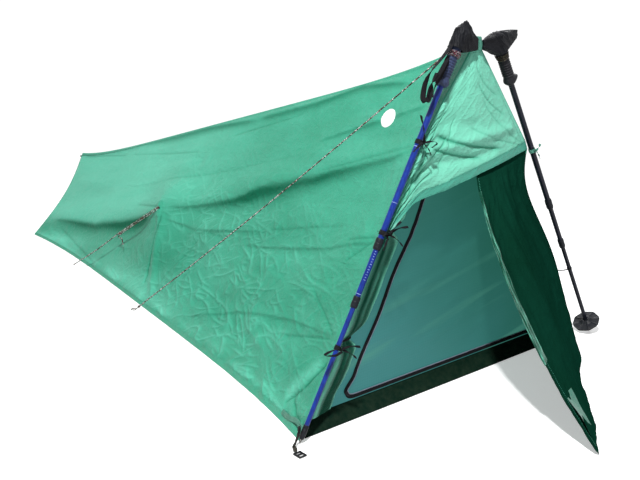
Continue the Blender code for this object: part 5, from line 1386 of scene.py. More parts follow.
# %% Zip tapes and coil
def zip_band(name, shift, width, lift, thickness, finish, nodes=()):
    """A flat band that runs beside the zip's line, on the door."""
    def ring(i, ahead):
        side = beside_zip(i)
        middle = zip_points[i] + side * shift + Vector((0, -lift, 0))
        return [middle + side * a * width + Vector((0, b * thickness, 0))
                for a, b in ((-0.5, 0.5), (-0.5, -0.5), (0.5, -0.5), (0.5, 0.5))]
    return add_piece(name, *swept(zip_points, ring), finish, "webbing", nodes, smooth=False)


zip_band("zip_tape", 0.0, 0.0125, 0.0, 0.0010, black_ribbon, ["inner_door_zip"])
zip_band("zip_tape_edge", 0.0075, 0.0026, 0.0001, 0.0016, zip_tape)
for number, shift in enumerate((-0.0013, 0.0013)):
    row = [spot + beside_zip(i) * shift + Vector((0, -0.0007, 0)) for i, spot in enumerate(zip_points)]
    add_stitches("zip_coil_%d" % number, [row], FORWARD, "webbing", pitch=0.0026, length=0.0014, girth=0.0010,
                 finish=black_plastic)
print("zip length", round(route_length(zip_points), 3))


# %% Slider
def add_plate(name, outline, thickness, middle, hole=None, soft=0.0004, nodes=()):
    """A flat moulded piece of the slider, with soft edges and an optional hole."""
    bm = bmesh.new()

    def ring(line):
        return [bm.verts.new((middle[0] + x, middle[1] - thickness / 2, middle[2] + z)) for x, z in line]

    front = ring(outline)
    count = len(outline)
    if hole:
        inner = ring(hole)
        faces = [bm.faces.new((front[k], front[(k + 1) % count], inner[(k + 1) % count], inner[k]))
                 for k in range(count)]
    else:
        faces = [bm.faces.new(front)]
    made = bmesh.ops.extrude_face_region(bm, geom=faces)
    moved = [g for g in made["geom"] if isinstance(g, bmesh.types.BMVert)]
    bmesh.ops.translate(bm, verts=moved, vec=(0, thickness, 0))
    bmesh.ops.recalc_face_normals(bm, faces=bm.faces)
    mesh = bpy.data.meshes.new(name)
    bm.to_mesh(mesh)
    bm.free()
    item = add_object(name, mesh)
    soften = item.modifiers.new("soft edges", "BEVEL")
    soften.width = soft
    soften.segments = 3
    soften.limit_method = "ANGLE"
    return settle(item, black_plastic, nodes, "zip_slider")


def oval(wide, high, power, count=24):
    """A rounded outline between an ellipse and a rectangle."""
    def reach(size, value):
        return size / 2 * math.copysign(abs(value) ** (2 / power), value)
    return [(reach(wide, math.cos(turn)), reach(high, math.sin(turn))) for turn in turns(count, count)]


SLIDER_X = 0.380
SLIDER_Y = float(inner_door_y(ZIP_LOW)) - 0.0028 - 0.0013
BRIDGE = ((0.0045, -0.0012), (0.0035, -0.0030), (-0.0035, -0.0030), (-0.0045, -0.0012))
add_plate("slider_body", oval(0.0125, 0.0100, 3.5), 0.0026, (SLIDER_X, SLIDER_Y, ZIP_LOW),
          nodes=["zip_slider"])
bridge = [Vector((SLIDER_X + a, SLIDER_Y + b, ZIP_LOW)) for a, b in BRIDGE]
add_ribbon("slider_bridge", bridge, (0, 0, 1), 0.0026, 0.0008, 24, finish=black_plastic,
           slot="black_plastic", body="zip_slider")
pull = oval(0.024, 0.0052, 4)
add_plate("slider_pull", pull, 0.0013, (SLIDER_X - 0.022, SLIDER_Y - 0.0023, ZIP_LOW),
          hole=[(x * 0.22 + 0.0085, z * 0.45) for x, z in pull], soft=0.0003)

# %% [markdown]
# ## The tub floor
# The floor is a tray of dark coated cloth with a lip turned up all round, so water can't run in.
# Its mesh is a set of loops: from the middle of the floor out to the edge, and then up the lip.

# %% Floor outline
SIDE_STEPS = 160
FRONT_STEPS = SIDE_STEPS // 2
floor_spots = np.array([tuple(v.co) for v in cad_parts["floor_tub"].data.vertices])


def floor_loop(z_low, z_high):
    """The floor's outer line at one level, read from the CAD node and spread evenly."""
    level = floor_spots[(floor_spots[:, 2] >= z_low) & (floor_spots[:, 2] <= z_high)]
    lines = []
    for sign in (-1, 1):
        keep = {}
        for x, y, _ in level[level[:, 0] * sign > 0]:
            key = round(float(y) * 50)
            if key not in keep or abs(x) > abs(keep[key][0]):
                keep[key] = (float(x), float(y))
        lines.append([keep[k] for k in sorted(keep)][::-sign])
    left, right = lines
    made = []
    for points, number in ((left, SIDE_STEPS), ([left[-1], right[0]], SIDE_STEPS // 4), (right, SIDE_STEPS),
                           ([right[-1], left[0]], FRONT_STEPS)):
        points = np.array(points)
        travelled = np.concatenate([[0], np.cumsum(np.hypot(*np.diff(points, axis=0).T))])
        wanted = np.linspace(0, travelled[-1], number, endpoint=False)
        made.append(np.stack([np.interp(wanted, travelled, points[:, k]) for k in (0, 1)], -1))
    return np.concatenate(made)


low_loop = floor_loop(-0.001, 0.0005)
high_loop = floor_loop(0.0355, 0.0365)
print("points round the floor:", len(low_loop))

# %% Floor
FLOOR_LIFT = 0.0008
front_mask = np.zeros(len(low_loop))
front_mask[-FRONT_STEPS:] = np.sin(np.pi * np.linspace(0, 1, FRONT_STEPS))
middle_line = np.stack([0.02 * np.sign(low_loop[:, 0]), np.clip(low_loop[:, 1], 0.35, 2.2)], -1)
loops = []
for part in np.concatenate([np.linspace(0.0, 0.985, 26), [0.995, 1.0]]):
    flat = middle_line + (low_loop - middle_line) * part
    lump = 0.0030 * crumple(flat[:, 0] * 5 + 2, flat[:, 1] * 5, 95) * step((1 - part) * 9) * step(part * 3)
    loops.append(np.column_stack([flat, FLOOR_LIFT + lump]))
for part in np.linspace(0.04, 1.0, 14):
    flat = low_loop + (high_loop - low_loop) * part
    bow = 0.0056 * front_mask ** 0.5 * np.sin(np.pi * part) ** 0.8
    ripples = 0.0035 * np.sin(np.pi * part * 0.93) \
        * ripple(np.arange(len(flat)) * 0.16, np.full(len(flat), part * 1.5), 96)
    flat[:, 1] += bow + ripples * (front_mask > 0)
    flat[:, 0] -= np.sign(flat[:, 0]) * np.abs(ripples) * (front_mask == 0)
    loops.append(np.column_stack([flat, np.full(len(flat), FLOOR_LIFT + 0.0352 * part)]))
loops = np.array(loops)
tub_faces = grid_faces(loops.shape[1], loops.shape[0], round_way=True)
floor_tub = add_piece("floor_tub_cloth", loops.transpose(1, 0, 2).reshape(-1, 3), tub_faces, floor_cloth,
                      "floor", ["floor_tub"])
show_area(floor_tub)

# %% [markdown]
# ## The white patch, the pull-outs and the rear loop
# A round white patch is sewn near the top of the left wall. Half way back, a loop on each wall
# takes a side guyline, on a small doubled patch of nylon that spreads the pull.


# %% Patches
def wall_disc(name, side, back, height, radius, lift, finish, slot, wide, nodes=()):
    """A round patch on a wall, and the line of its stitches."""
    around = np.array(turns(72, 72))[:, None]
    reach = np.linspace(0.02, 1.0, 14)[None, :] * radius
    soft = lift * np.sqrt(np.clip(1 - (reach / radius) ** 8, 0, 1)) + 0.0002
    grid = on_wall(side, back + reach * wide * np.cos(around), height + reach * 0.87 * np.sin(around),
                   lift=soft)
    faces = grid_faces(72, 14, round_way=True) + [tuple(range(0, 72 * 14, 14))]
    item = add_piece(name, grid.reshape(-1, 3), faces, finish, slot, nodes)
    2 * radius * wide
    2 * radius
    round(math.pi * radius ** 2 * wide, 5)
    around = around[:, 0]
    edge = on_wall(side, back + radius * 0.9 * wide * np.cos(around), height + radius * 0.78 * np.sin(around),
                   lift=lift + 0.0004)
    show_area(item)
    return [Vector(p) for p in edge] + [Vector(edge[0])]


PATCH_HEIGHT = 0.850 * float(ridge_height(PATCH_BACK))
patch_edge = wall_disc("white_patch_disc", LEFT, PATCH_BACK, PATCH_HEIGHT, 0.030, 0.0016, white_cloth,
                       "white", 1.15, ["round_patch"])
add_stitches("white_patch_stitches", [patch_edge], WALL_OUTWARD[LEFT], "white", pitch=0.0040, length=0.0026,
             girth=0.0004, finish=white_cloth)

# %% Pull-outs and the rear loop
LOOP_GAP = 0.0022
PULL_OUT_END = {LEFT: (-0.2596, 1.3703, 0.3362), RIGHT: (0.2177, 1.3703, 0.3362)}
for side, name in SIDES:
    edge = wall_disc(name + "_pullout_patch", side, *PULLOUT, 0.034, 0.0012, canopy_cloth, "cloth", 0.8)
    add_stitches(name + "_pullout_stitches", [edge], WALL_OUTWARD[side])
    outward = PULL_WAY[side]
    seat = Vector(on_wall(side, *PULLOUT)) - outward * 0.002
    end = Vector(PULL_OUT_END[side]) + outward * 0.001
    gap = Vector((0.0, 0.0, 0.0024))
    path = [seat + gap, end + gap, end + outward * 0.0035, end - gap, seat - gap]
    add_ribbon(name + "_pullout_webbing", path, (0, 1, 0), 0.010, 0.0014, 60, [name + "_pullout_loop"])
    bar = [seat + outward * 0.004 + Vector((0, a, 0.0034)) for a in (-0.005, 0.0, 0.005)]
    add_stitches(name + "_pullout_bar", [bar], outward, "webbing", pitch=0.0012, length=0.0011, girth=0.0008)
height = float(ridge_height(TENT_LENGTH)) - 0.016
y = FRONT_Y + REAR_EDGE + 2 * SEAM_GAP + CLOTH + 0.0006
out_y = y + 0.026 * 0.7
rear_path = [(RIDGE_X, y, height + LOOP_GAP), (RIDGE_X, out_y, height + LOOP_GAP),
             (RIDGE_X, out_y + 0.003, height), (RIDGE_X, out_y, height - LOOP_GAP),
             (RIDGE_X, y, height - LOOP_GAP)]
add_ribbon("rear_loop_webbing", rear_path, (1, 0, 0), 0.010, 0.0014, 60, ["rear_ridge_loop"])

# %% [markdown]
# ## The trekking poles
# Each pole is three tubes that slide in each other, two twist locks, a ribbed grip and a ferrule.
# They are turned on their own axes with many steps. Each piece rides on the CAD section it belongs
# to, so the poles still shorten and twist.

# %% Tubes
UPPER, MIDDLE, LOWER = 0.009, 0.008, 0.007
UPPER_LOCK, LOWER_LOCK = 0.5961, 0.4222
OVERLAP = 0.120 - 0.0006
GRIP_BOTTOM = 1.0742
LASHING_AT = 1.164
LASHING_PITCH = 0.0044
LASHING_TOP = LASHING_AT + 4.5 * LASHING_PITCH
TUBE_WALL = 0.0007
FIT = 0.0003


def tube(name, side, outer, start, end, body):
    bore = outer - TUBE_WALL
    profile = [(outer, end - 0.0006)] + [(outer, a) for a in np.linspace(end - 0.001, start + 0.001, 40)]
    profile += [(outer, start + 0.0006), (outer - 0.0004, start), (bore, start), (bore, end),
                (outer - 0.0004, end)]
    metal = blue_metal if side == LEFT else navy_metal
    add_turned(name + "_metal", side, profile, metal, "blue_tube", [name], body)


for side, name in SIDES:
    tube(name + "_upper_tube", side, UPPER, UPPER_LOCK, 1.2047, "canopy")
    tube(name + "_middle_tube", side, MIDDLE, LOWER_LOCK, UPPER_LOCK + OVERLAP, name + "_middle_section")
    tube(name + "_lower_tube", side, LOWER, 0.0226, LOWER_LOCK + OVERLAP, name + "_lower_section")


# %% Printed marks on the left pole
# Fine marks along the middle section show how far it is pulled out, and pale rings sit on the tubes.
def tube_mark(name, tube_radius, low, high, turn, spread, steps, body):
    """A thin printed mark: a patch of skin a hair proud of the left pole's tube."""
    grid = [[tuple(round_pole(LEFT, tube_radius + 0.00012, a, h)) for h in np.linspace(low, high, 4)]
            for a in np.linspace(turn - spread, turn + spread, steps)]
    add_sheet(name, np.array(grid), pale_mark, "white", body=body)


for k in range(12):
    low = 0.488 + 0.0078 * k
    tube_mark("left_scale_mark_%d" % k, MIDDLE, low, low + 0.0012, -2.25, 0.22 if k % 2 else 0.34, 14,
              "left_middle_section")
for name, radius, low, high, body in (("left_pale_ring", UPPER, 0.8900, 0.8918, "canopy"),
                                      ("left_middle_ring", UPPER, 0.7200, 0.7212, "canopy"),
                                      ("left_stop_ring", MIDDLE, 0.446, 0.4475, "left_middle_section")):
    tube_mark(name, radius, low, high, 0.0, math.pi, 60, body)


# %% Lock collars
def collar(name, side, tube_radius, inner_radius, at, body):
    low, high = at - 0.017, at + 0.017
    outer = tube_radius + 0.0025
    points = [(tube_radius + FIT, high), (outer * 0.93, high), (outer, high - 0.004), (outer, at + 0.005),
              (outer - 0.0007, at + 0.0038), (outer - 0.0007, at + 0.0026), (outer, at + 0.0014),
              (outer, low + 0.006), (outer * 0.9, low), (inner_radius + FIT, low),
              (inner_radius + FIT, at - 0.002), (tube_radius + FIT, at - 0.002)]

    def ribs(radius, height, turn):
        held = step((height - low - 0.006) / 0.003) * step((at - height) / 0.003)
        return radius - 0.0005 * held * (0.5 + 0.5 * math.cos(16 * turn)) * (radius > tube_radius + 0.001)

    fine = []
    for one, two in zip(points, points[1:] + points[:1]):
        count = 8 if abs(one[1] - two[1]) > 0.004 else 2
        fine += [(one[0] + (two[0] - one[0]) * k / count, one[1] + (two[1] - one[1]) * k / count)
                 for k in range(count)]
    add_turned(name + "_shell", side, fine, black_plastic, "black_plastic", [name], body, 96, ribs)


for side, name in SIDES:
    collar(name + "_upper_lock_collar", side, UPPER, MIDDLE, UPPER_LOCK, "canopy")
    collar(name + "_lower_lock_collar", side, MIDDLE, LOWER, LOWER_LOCK, name + "_middle_section")

# %% Grips
# Head and hand rest: radius, and distance from the top or from the grip's bottom
GRIP_HEAD = ((0.0002, 0.0), (0.006, 0.0003), (0.011, 0.001), (0.0145, 0.003), (0.017, 0.006), (0.0187, 0.010),
             (0.019, 0.014), (0.019, 0.034), (0.0175, 0.045))
GRIP_REST = ((0.0168, 0.024), (0.0182, 0.019), (0.0196, 0.0150), (0.0200, 0.0125), (0.0198, 0.0085),
             (0.0180, 0.0050), (0.0155, 0.0020), (0.0135, 0.0), (UPPER + FIT, 0.0))
GRIP_RIBS = 7


def grip(side, name, finish, lobe_turn):
    bore = UPPER + FIT
    points = [(radius, POLE_LENGTH - down) for radius, down in GRIP_HEAD] + [(GRIP_RADIUS, LASHING_TOP)]
    points += [(GRIP_RADIUS, h) for h in np.linspace(LASHING_TOP - 0.002, LASHING_AT - 0.004, 8)]
    rib_top, rib_low = LASHING_AT - 0.006, GRIP_BOTTOM + 0.028
    for height in np.linspace(rib_top, rib_low, 98):
        turn = 2 * math.pi * GRIP_RIBS * (rib_top - height) / (rib_top - rib_low)
        points.append((GRIP_RADIUS + 0.0004 - 0.0016 * math.cos(turn) ** 3, height))
    points += [(radius, GRIP_BOTTOM + up) for radius, up in GRIP_REST]
    points += [(bore, h) for h in np.linspace(GRIP_BOTTOM + 0.01, POLE_LENGTH - 0.045, 6)]

    def hand_rest(radius, height, turn):
        lobe = bell(height, GRIP_BOTTOM + 0.0125, 0.0062) * max(0.0, math.cos(turn - lobe_turn)) ** 3
        return radius + 0.0112 * lobe * (radius > bore + 0.002)

    add_turned(name + "_grip_rubber", side, points + [(0.0002, POLE_LENGTH - 0.045)], finish, "grip",
               [name + "_grip"], steps=64, shape=hand_rest)


grip(LEFT, "left", blue_grip, math.pi)
grip(RIGHT, "right", dark_grip, 0.0)

# %% Lashings
# A wound cord holds each boot to its grip, with four untidy rings over it: shift, lean and size
CROSSES = ((0.0022, 0.4, 1.0), (0.0066, -0.5, 0.9), (0.0108, 0.6, 0.9), (0.0150, -0.3, 0.8))
for side, name, finish, start in ((LEFT, "left", left_cord, math.pi), (RIGHT, "right", right_cord, 0.0)):
    radius = GRIP_RADIUS + 0.0003 + LASHING_CORD
    wound = [round_pole(side, radius, start - side * turn, LASHING_AT + LASHING_PITCH * turn / (2 * math.pi))
             for turn in turns(48, 169)]
    add_tube(name + "_lashing_cord", wound, LASHING_CORD, finish, nodes=[name + "_lashing"], strand=0.1)
    for number, (shift, lean, size) in enumerate(CROSSES):
        ring = [round_pole(side, GRIP_RADIUS + 0.0036 + 0.0012 * math.sin(2 * turn + number), turn,
                           LASHING_AT + shift + 0.0028 * math.sin(turn + number * 1.9) * lean)
                for turn in turns(48, 48)]
        add_tube("%s_lashing_cross_%d" % (name, number), ring + ring[:1], LASHING_CORD * 0.8 * size, finish,
                 strand=0.1, sides=8)

# %% Ferrules
FERRULE = ((0.0002, 0.0219), (LOWER + FIT, 0.0219), (LOWER + FIT, 0.0550), (0.0080, 0.0550), (0.0084, 0.0542),
           (0.0084, 0.0470), (0.0080, 0.0462), (0.0080, 0.0445), (0.0084, 0.0437), (0.0084, 0.0300),
           (0.0080, 0.0230), (0.0074, 0.0185), (0.0064, 0.0150), (0.0052, 0.0136), (0.0036, 0.0125),
           (0.0034, 0.0120), (0.0002, 0.0120))
POINT = ((0.0033, 0.0126), (0.0031, 0.0080), (0.0024, 0.0036), (0.0021, 0.0020), (0.0016, 0.0015),
         (0.0002, 0.0016), (0.0002, 0.0126))
for side, name in SIDES:
    section = name + "_lower_section"
    add_turned(name + "_ferrule", side, FERRULE, black_plastic, "black_plastic", [name + "_tip"], section)
    add_turned(name + "_carbide_point", side, POINT, steel, "steel", body=section)

# %% Basket
BASKET, HUB = 0.048, 0.0087
SPOKES, BASKET_STEPS = 8, 192


def basket_skin(low_side):
    """One side of the basket's scalloped dish, in the pole's own frame."""
    turn = np.array(turns(BASKET_STEPS, BASKET_STEPS))[:, None]
    reach = np.concatenate([[0.0, 0.004, 0.006], np.linspace(0.009, BASKET - HUB - 0.0004, 30)])
    reach = reach[None, :] + HUB
    out = (reach - HUB) / (BASKET - HUB)
    rim = 0.0012 * bell(out, 0.97, 0.035)
    rib = bell((turn * SPOKES / (2 * math.pi) + 0.5) % 1, 0.5, 0.085) * (out > 0.12) * (out < 0.95)
    height = 0.054 - 0.0075 * step(out * 2.5) - 0.0030 * out ** 2
    height = height - 0.0028 - rim + 0 * turn if low_side else height + 0.0020 * rib + rim
    scallop = step(np.clip((reach / BASKET - 0.3) / 0.65, 0.0, 1.0) * 1.3 - 0.2)
    radius = reach * (1 - 0.045 * scallop * (0.5 - 0.5 * np.cos(SPOKES * turn)))
    return np.stack([radius * np.cos(turn), radius * np.sin(turn), height], -1)


both = np.concatenate([basket_skin(False), basket_skin(True)[:, ::-1]], axis=1)
count = both.shape[1]
basket_faces = grid_faces(BASKET_STEPS, count, round_way=True)
for i in range(BASKET_STEPS):
    low, high = i * count, (i + 1) % BASKET_STEPS * count
    basket_faces.append((low + count - 1, high + count - 1, high, low))
add_piece("right_basket_dish", [POLE[RIGHT] @ Vector(p) for p in both.reshape(-1, 3)], basket_faces,
          black_plastic, "black_plastic", ["right_basket"], "right_lower_section")
print("poles made")

# %% [markdown]
# ## The boots and the loop at the apex
# A cloth boot covers the head of each grip, and its peak is drawn toward the apex. The boot starts
# from the CAD solid's own corners, is wrapped in one smooth skin, and is then creased like cloth
# that is pulled over something round. Its mouth is open, with a turned hem.


# %% Boot skin
def smooth_skin(name, node):
    """An even, soft skin round the corners of a CAD node."""
    bm = bmesh.new()
    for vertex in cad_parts[node].data.vertices:
        bm.verts.new(vertex.co)
    hull = bmesh.ops.convex_hull(bm, input=bm.verts)
    spare = [g for g in hull["geom_interior"] + hull["geom_unused"] if isinstance(g, bmesh.types.BMVert)]
    bmesh.ops.delete(bm, geom=list(set(spare)), context="VERTS")
    mesh = bpy.data.meshes.new(name)
    bm.to_mesh(mesh)
    bm.free()
    item = add_object(name, mesh)
    even = item.modifiers.new("even skin", "REMESH")
    even.mode = "VOXEL"
    even.voxel_size = 0.0022
    smooth = item.modifiers.new("soft skin", "SMOOTH")
    smooth.factor = 0.6
    smooth.iterations = 6
    held = bpy.context.evaluated_depsgraph_get()
    held.update()
    ready = bpy.data.meshes.new_from_object(item.evaluated_get(held))
    item.modifiers.clear()
    item.data = ready
    return item, ready


def read_vectors(mesh, name):
    values = np.empty(len(mesh.vertices) * 3)
    mesh.vertices.foreach_get(name, values)
    return values.reshape(-1, 3)


# %% Boots
def boot(side, name):
    item, ready = smooth_skin(name + "_boot_cloth", name + "_boot")
    spots, normals = read_vectors(ready, "co"), read_vectors(ready, "normal")
    to_pole = POLE[side].inverted()
    turned_in = np.array(to_pole)
    local = spots @ turned_in[:3, :3].T + turned_in[:3, 3]
    turn = np.arctan2(local[:, 1], local[:, 0])
    away = step((local[:, 2] - BOOT_MOUTH_AT) / 0.012)
    crease = 1 - np.abs(ripple(turn * 2.2 + spots[:, 2] * 30, local[:, 2] * 22 + spots[:, 0] * 12, 23 + side))
    fine = ripple(spots[:, 0] * 95, spots[:, 2] * 95 + spots[:, 1] * 60, 29 + side)
    spots += normals * (0.0034 * (crease ** 3 - 0.55) + 0.0002 * fine)[:, None] * away[:, None]
    ready.vertices.foreach_set("co", spots.ravel())
    bm = bmesh.new()
    bm.from_mesh(ready)
    mouth = [f for f in bm.faces if (to_pole @ f.calc_center_median()).z < BOOT_MOUTH_AT + 0.0018]
    bmesh.ops.delete(bm, geom=mouth, context="FACES")
    bm.to_mesh(ready)
    bm.free()
    ready.update()
    settle(item, boot_cloth, [name + "_boot"])
    show_area(item)
    ring = [round_pole(side, 0.0226 + 0.0005 * math.sin(7 * a), a,
                       BOOT_MOUTH_AT + 0.0022 + 0.0007 * math.sin(5 * a)) for a in turns(72)]
    add_tube(name + "_boot_hem", ring, 0.0016, boot_cloth, "black_cloth", sides=8)
    return item


left_boot, right_boot = [boot(side, name) for side, name in SIDES]

# %% Apex loop
APEX_STEPS = ((0.0, 0.0015, 1.039), (-0.001, 0.0020, 1.060), (0.0, 0.0045, 1.0745), (0.0, 0.0085, 1.0765),
              (0.0, 0.0108, 1.068), (0.001, 0.0105, 1.050), (0.0, 0.0100, 1.0385))
front = FRONT_Y - SEAM_GAP - CLOTH - 0.0003 + lean_at(1.058 - 0.040) - 0.001
apex_path = [Vector((RIDGE_X + x, front - ahead, z)) for x, ahead, z in APEX_STEPS]
add_ribbon("apex_loop_webbing", apex_path, (1, 0, 0), 0.021, 0.0016, 70, ["apex_loop"], pale_ribbon, "cloth",
           curl=0.12)

# %% [markdown]
# ## Ties, straps and the buckle
# Thin ribbons tie the canopy to each pole. Each has a small knot in front and loose ends that hang
# as they like. At the left front corner a pale strap goes to the ferrule, and a spare length of
# black webbing is bunched up and threaded into a small buckle on the ground.

# %% Tie table
# Name, side, distance from the pole's tip, tube radius, finish, slot, knot radius and the loose ends
TIES = (
    ("left_tie_top", LEFT, 0.905, UPPER, black_ribbon, "webbing", 0.0080,
     (((-0.022, -0.014, 0.004), (-0.060, -0.020, -0.014)), ((-0.012, -0.014, 0.030), (-0.034, -0.020, 0.084)),
      ((0.022, -0.012, 0.004), (0.040, -0.014, -0.004), (0.022, -0.012, -0.014)),
      ((0.010, -0.010, -0.016), (0.020, -0.012, -0.036)))),
    ("left_tie_middle", LEFT, 0.630, UPPER, black_ribbon, "webbing", 0.0125,
     (((0.030, -0.004, 0.012), (0.075, -0.002, 0.010)), ((-0.012, -0.006, -0.014), (-0.028, -0.010, -0.038)),
      ((0.020, -0.008, -0.012), (0.048, -0.010, -0.040)), ((-0.014, -0.008, 0.008), (-0.034, -0.012, 0.004)),
      ((0.014, -0.008, 0.018), (0.038, -0.010, 0.034)))),
    ("left_tie_bottom", LEFT, 0.286, LOWER, black_ribbon, "webbing", 0.0085,
     (((-0.034, -0.008, 0.010), (-0.072, -0.012, 0.006), (-0.036, -0.014, -0.004), (-0.006, -0.010, -0.002)),
      ((0.020, -0.010, -0.012), (0.046, -0.012, -0.034)), ((0.024, -0.010, 0.006), (0.060, -0.012, -0.004)))),
    ("right_tie_top", RIGHT, 0.820, UPPER, pale_ribbon, "pale_webbing", 0.0055,
     (((0.004, -0.006, 0.010), (0.006, -0.010, 0.022)), ((0.006, -0.006, -0.012), (0.010, -0.010, -0.026)))),
)
KNOT_WAYS = [(0.2, 1.0, 0.3), (0.6, 0.5, -0.6), (0.2, 1.0, 0.3)]
TAIL_WAYS = [(0.25, 1.0, 0.1), (0.6, 0.8, 0.4), (0.1, 1.0, 0.5)]
IN_FRONT = -math.pi / 2


# %% Ties
def add_tie(name, side, at, tube_radius, finish, slot, knot, tails):
    outer = tube_radius + 0.0017
    wrap = [round_pole(side, tube_radius + 0.0009 + 0.00045 * turn / (2 * math.pi), turn + IN_FRONT,
                       at + 0.0026 * math.sin((turn + IN_FRONT) * 0.5)) for turn in turns(48, 97)]
    add_ribbon(name + "_wrap", wrap, ALONG_POLE[side], 0.0086, 0.0008, 150, [name], finish, slot)
    centre = round_pole(side, outer + knot * 0.7, IN_FRONT, at)
    reach = knot * 0.42
    loop = [centre + Vector((reach * (math.sin(turn) + 1.5 * math.sin(2 * turn)),
                             -reach * 0.8 * math.sin(3 * turn),
                             reach * (math.cos(turn) - 1.5 * math.cos(2 * turn)))) for turn in turns(120)]
    add_ribbon(name + "_knot", loop, KNOT_WAYS, knot * 0.75, 0.0016, 120, (), finish, slot, curl=0.5)
    start = round_pole(side, outer + knot, IN_FRONT, at)
    for number, moves in enumerate(tails):
        path = [start] + [start + Vector(m) for m in moves]
        add_ribbon("%s_end_%d" % (name, number), path, TAIL_WAYS, 0.0072, 0.0009, 50, (), finish, slot,
                   curl=0.6)


for row in TIES:
    add_tie(*row)
print("ties:", [row[0] for row in TIES])

# %% Lower right tie
at = TIE_HEIGHT / pole_ends(RIGHT)[1].z * POLE_LENGTH
wrap = [round_pole(RIGHT, LOWER + 0.0010, turn, at + 0.002 * math.sin(turn / 2)) for turn in turns(48, 97)]
add_ribbon("right_tie_bottom_wrap", wrap, ALONG_POLE[RIGHT], 0.0050, 0.0008, 150, ["right_tie_bottom"])
seam = Vector((seam_x(RIGHT, TIE_HEIGHT) + 0.0010, FRONT_Y + 0.003 + lean_at(TIE_HEIGHT), TIE_HEIGHT))
start = on_pole(RIGHT, at, LOWER + 0.0006)
strand = [start, start.lerp(seam, 0.5) + Vector((0, 0, -0.002)), seam]
add_ribbon("right_tie_bottom_strand", strand, (0, 0, 1), 0.004, 0.0010, 40, curl=0.3)

# %% Corner straps
LEFT_STRAP = ((-0.6147, 0.1302, 0.0233), (-0.6274, 0.0851, 0.0243), (-0.6392, 0.0349, 0.0371),
              (-0.6546, -0.0038, 0.0373), (-0.6546, -0.0131, 0.0372))
RIGHT_STRAP = ((0.5473, 0.1302, 0.0233), (0.5600, 0.0851, 0.0242), (0.5721, 0.0591, 0.0243))
along = ALONG_POLE[LEFT]
up_wall = (0.52, 0.0, 0.85)
add_ribbon("left_corner_strap_webbing", LEFT_STRAP, [up_wall] * 3 + [along] * 2, 0.016, 0.0017, 90,
           ["left_corner_strap"], pale_ribbon, "pale_webbing")
add_ribbon("right_corner_strap_webbing", RIGHT_STRAP, (-0.52, 0.0, 0.85), 0.016, 0.0017, 60,
           ["right_corner_strap"], pale_ribbon, "pale_webbing")

# %% Bunched webbing
beside = 0.0018 / 2 + 0.008 / 2 + 0.0006
bunch = [on_pole(LEFT, 0.038, -beside, 0.0084 + 0.011), on_pole(LEFT, 0.032, -0.0168, 0.0),
         (-0.698, -0.0344, 0.0180), (-0.716, -0.0504, 0.0100), (-0.716, -0.0604, 0.0100)]
ways = [along, along, (0.1, 0.0, 1.0), (0.0, 0.0, 1.0), (0.0, 0.0, 1.0)]
add_ribbon("left_corner_webbing_core", bunch, ways, 0.015, 0.0030, 80, ["left_corner_webbing"])
for number, (shift, phase) in enumerate((((-0.003, -0.0012, 0.002), 0.0), ((0.0030, 0.0010, 0.001), 2.1))):
    folded = [spot + Vector(shift) + Vector((0.0022, -0.0012, 0.0025)) * math.sin(i * 1.7 + phase)
              for i, spot in enumerate(smooth_route(bunch, 9))]
    add_ribbon("left_corner_webbing_fold_%d" % number, folded, ways, 0.011, 0.0016, 90, curl=0.35)

# %% Buckle
# Its bars: from, to, the way the width runs, width, lift, and the node that the first stands for
BUCKLE_MIDDLE = Vector((-0.716, -0.075, 0.003))
BARS = (((-0.012, -0.013), (0.012, -0.013), (0, 1, 0), 0.0045, 0.0, ["left_corner_buckle"]),
        ((-0.012, 0.013), (0.012, 0.013), (0, 1, 0), 0.0045, 0.0, ()),
        ((-0.0105, -0.0135), (-0.0105, 0.0135), (1, 0, 0), 0.0045, 0.0, ()),
        ((0.0105, -0.0135), (0.0105, 0.0135), (1, 0, 0), 0.0045, 0.0, ()),
        ((-0.0105, 0.0), (0.0105, 0.0), (0, 1, 0), 0.0040, 0.0006, ()))
for number, ((x0, y0), (x1, y1), way, width, lift, nodes) in enumerate(BARS):
    route = [BUCKLE_MIDDLE + Vector((x0 + (x1 - x0) * t, y0 + (y1 - y0) * t, lift))
             for t in np.linspace(0, 1, 12)]
    add_ribbon("left_corner_buckle_bar_%d" % number, route, way, width, 0.0048, 14, nodes, black_plastic,
               "black_plastic")

# %% [markdown]
# ## Finishes of the hidden lock plugs
# The plugs inside the locks are CAD pieces that keep showing, so they only take a finish.

# %% Hidden plugs
for name in ("left_upper_expander", "left_lower_expander", "right_upper_expander", "right_lower_expander"):
    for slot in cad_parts[name].material_slots:
        slot.material = black_plastic

# %% [markdown]
# ## Floor, backdrop and light
# The tent stands on a plain pale floor under a high lamp in front on the left, with a large weak
# one behind on the right. Only the lit floor and the white world are seen around it.


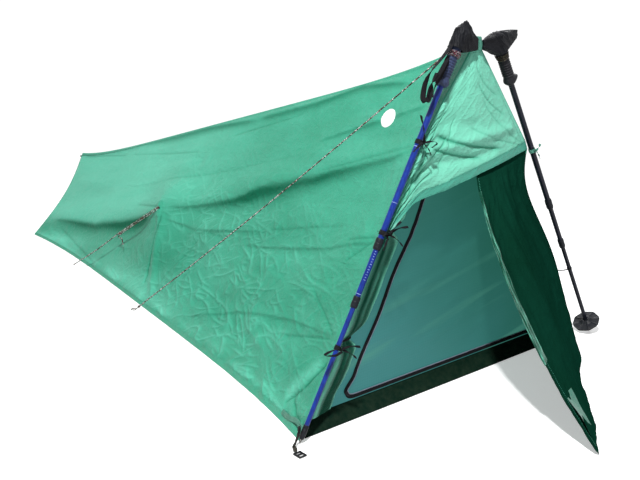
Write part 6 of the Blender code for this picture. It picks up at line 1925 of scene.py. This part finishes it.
# %% Stage
def stage_finish():
    made, tree = new_finish("pale studio floor")
    grain = noise(scaled_place(tree), 90.0, 4.0)
    spot = put(tree, "TexCoord", out="Object")
    away = put(tree, "VectorMath", {0: spot, 1: (0.0, 0.7, 0.0)}, "Value", operation="DISTANCE")
    far = calc("DIVIDE", away - 1.5, 1.6).clip()
    pale = mix(grain, (0.80, 0.80, 0.80), (0.84, 0.84, 0.84))
    lifted = mix(put(tree, "LightPath", out="Is Camera Ray"), (0, 0, 0), (0.42, 0.42, 0.42))
    return finish_with(made, grain * 0.0002, {
        "Base Color": mix(far, pale, (0, 0, 0)), "Roughness": 0.9,
        "Emission Color": mix(far, lifted, (1, 1, 1)), "Emission Strength": 1.0})


FLOOR_REACH, FLOOR_LEVEL = 30.0, -0.001
mesh = bpy.data.meshes.new("studio_floor")
corners = [(x * FLOOR_REACH, y * FLOOR_REACH, FLOOR_LEVEL) for x, y in ((-1, -1), (1, -1), (1, 1), (-1, 1))]
mesh.from_pydata(corners, [], [(0, 1, 2, 3)])
ground = add_object("studio_floor", mesh)
ground.data.materials.append(stage_finish())


# %% Lamps
def add_lamp(name, place, aim, size, power):
    light = bpy.data.lights.new(name, "AREA")
    light.shape = "DISK"
    light.size = size
    light.energy = power
    item = add_object(name, light)
    item.location = place
    item.rotation_euler = (Vector(aim) - Vector(place)).to_track_quat("-Z", "Y").to_euler()


add_lamp("key_lamp", (-2.66, -2.06, 5.68), (-0.1, 0.5, 0.4), 0.40, 600)
add_lamp("fill_lamp", (3.6, 3.4, 3.0), (0.0, 1.0, 0.3), 3.0, 110)

# %% World
WHITE = (1, 1, 1, 1)
world = bpy.data.worlds.new("soft white room")
bpy.context.scene.world = world
world.use_nodes = True
tree = world.node_tree
tree.nodes.clear()
seen = put(tree, "LightPath")
bounced = calc("MAXIMUM", seen["Is Glossy Ray"], seen["Is Transmission Ray"])
clear = calc("MAXIMUM", seen["Is Camera Ray"], bounced)
lit = put(tree, "Background", {"Color": WHITE, "Strength": 0.24})
white = put(tree, "Background", {"Color": WHITE, "Strength": 1.0})
shown = put(tree, "MixShader", {0: clear, 1: lit, 2: white})
fill(tree.nodes.new("ShaderNodeOutputWorld"), {"Surface": shown})
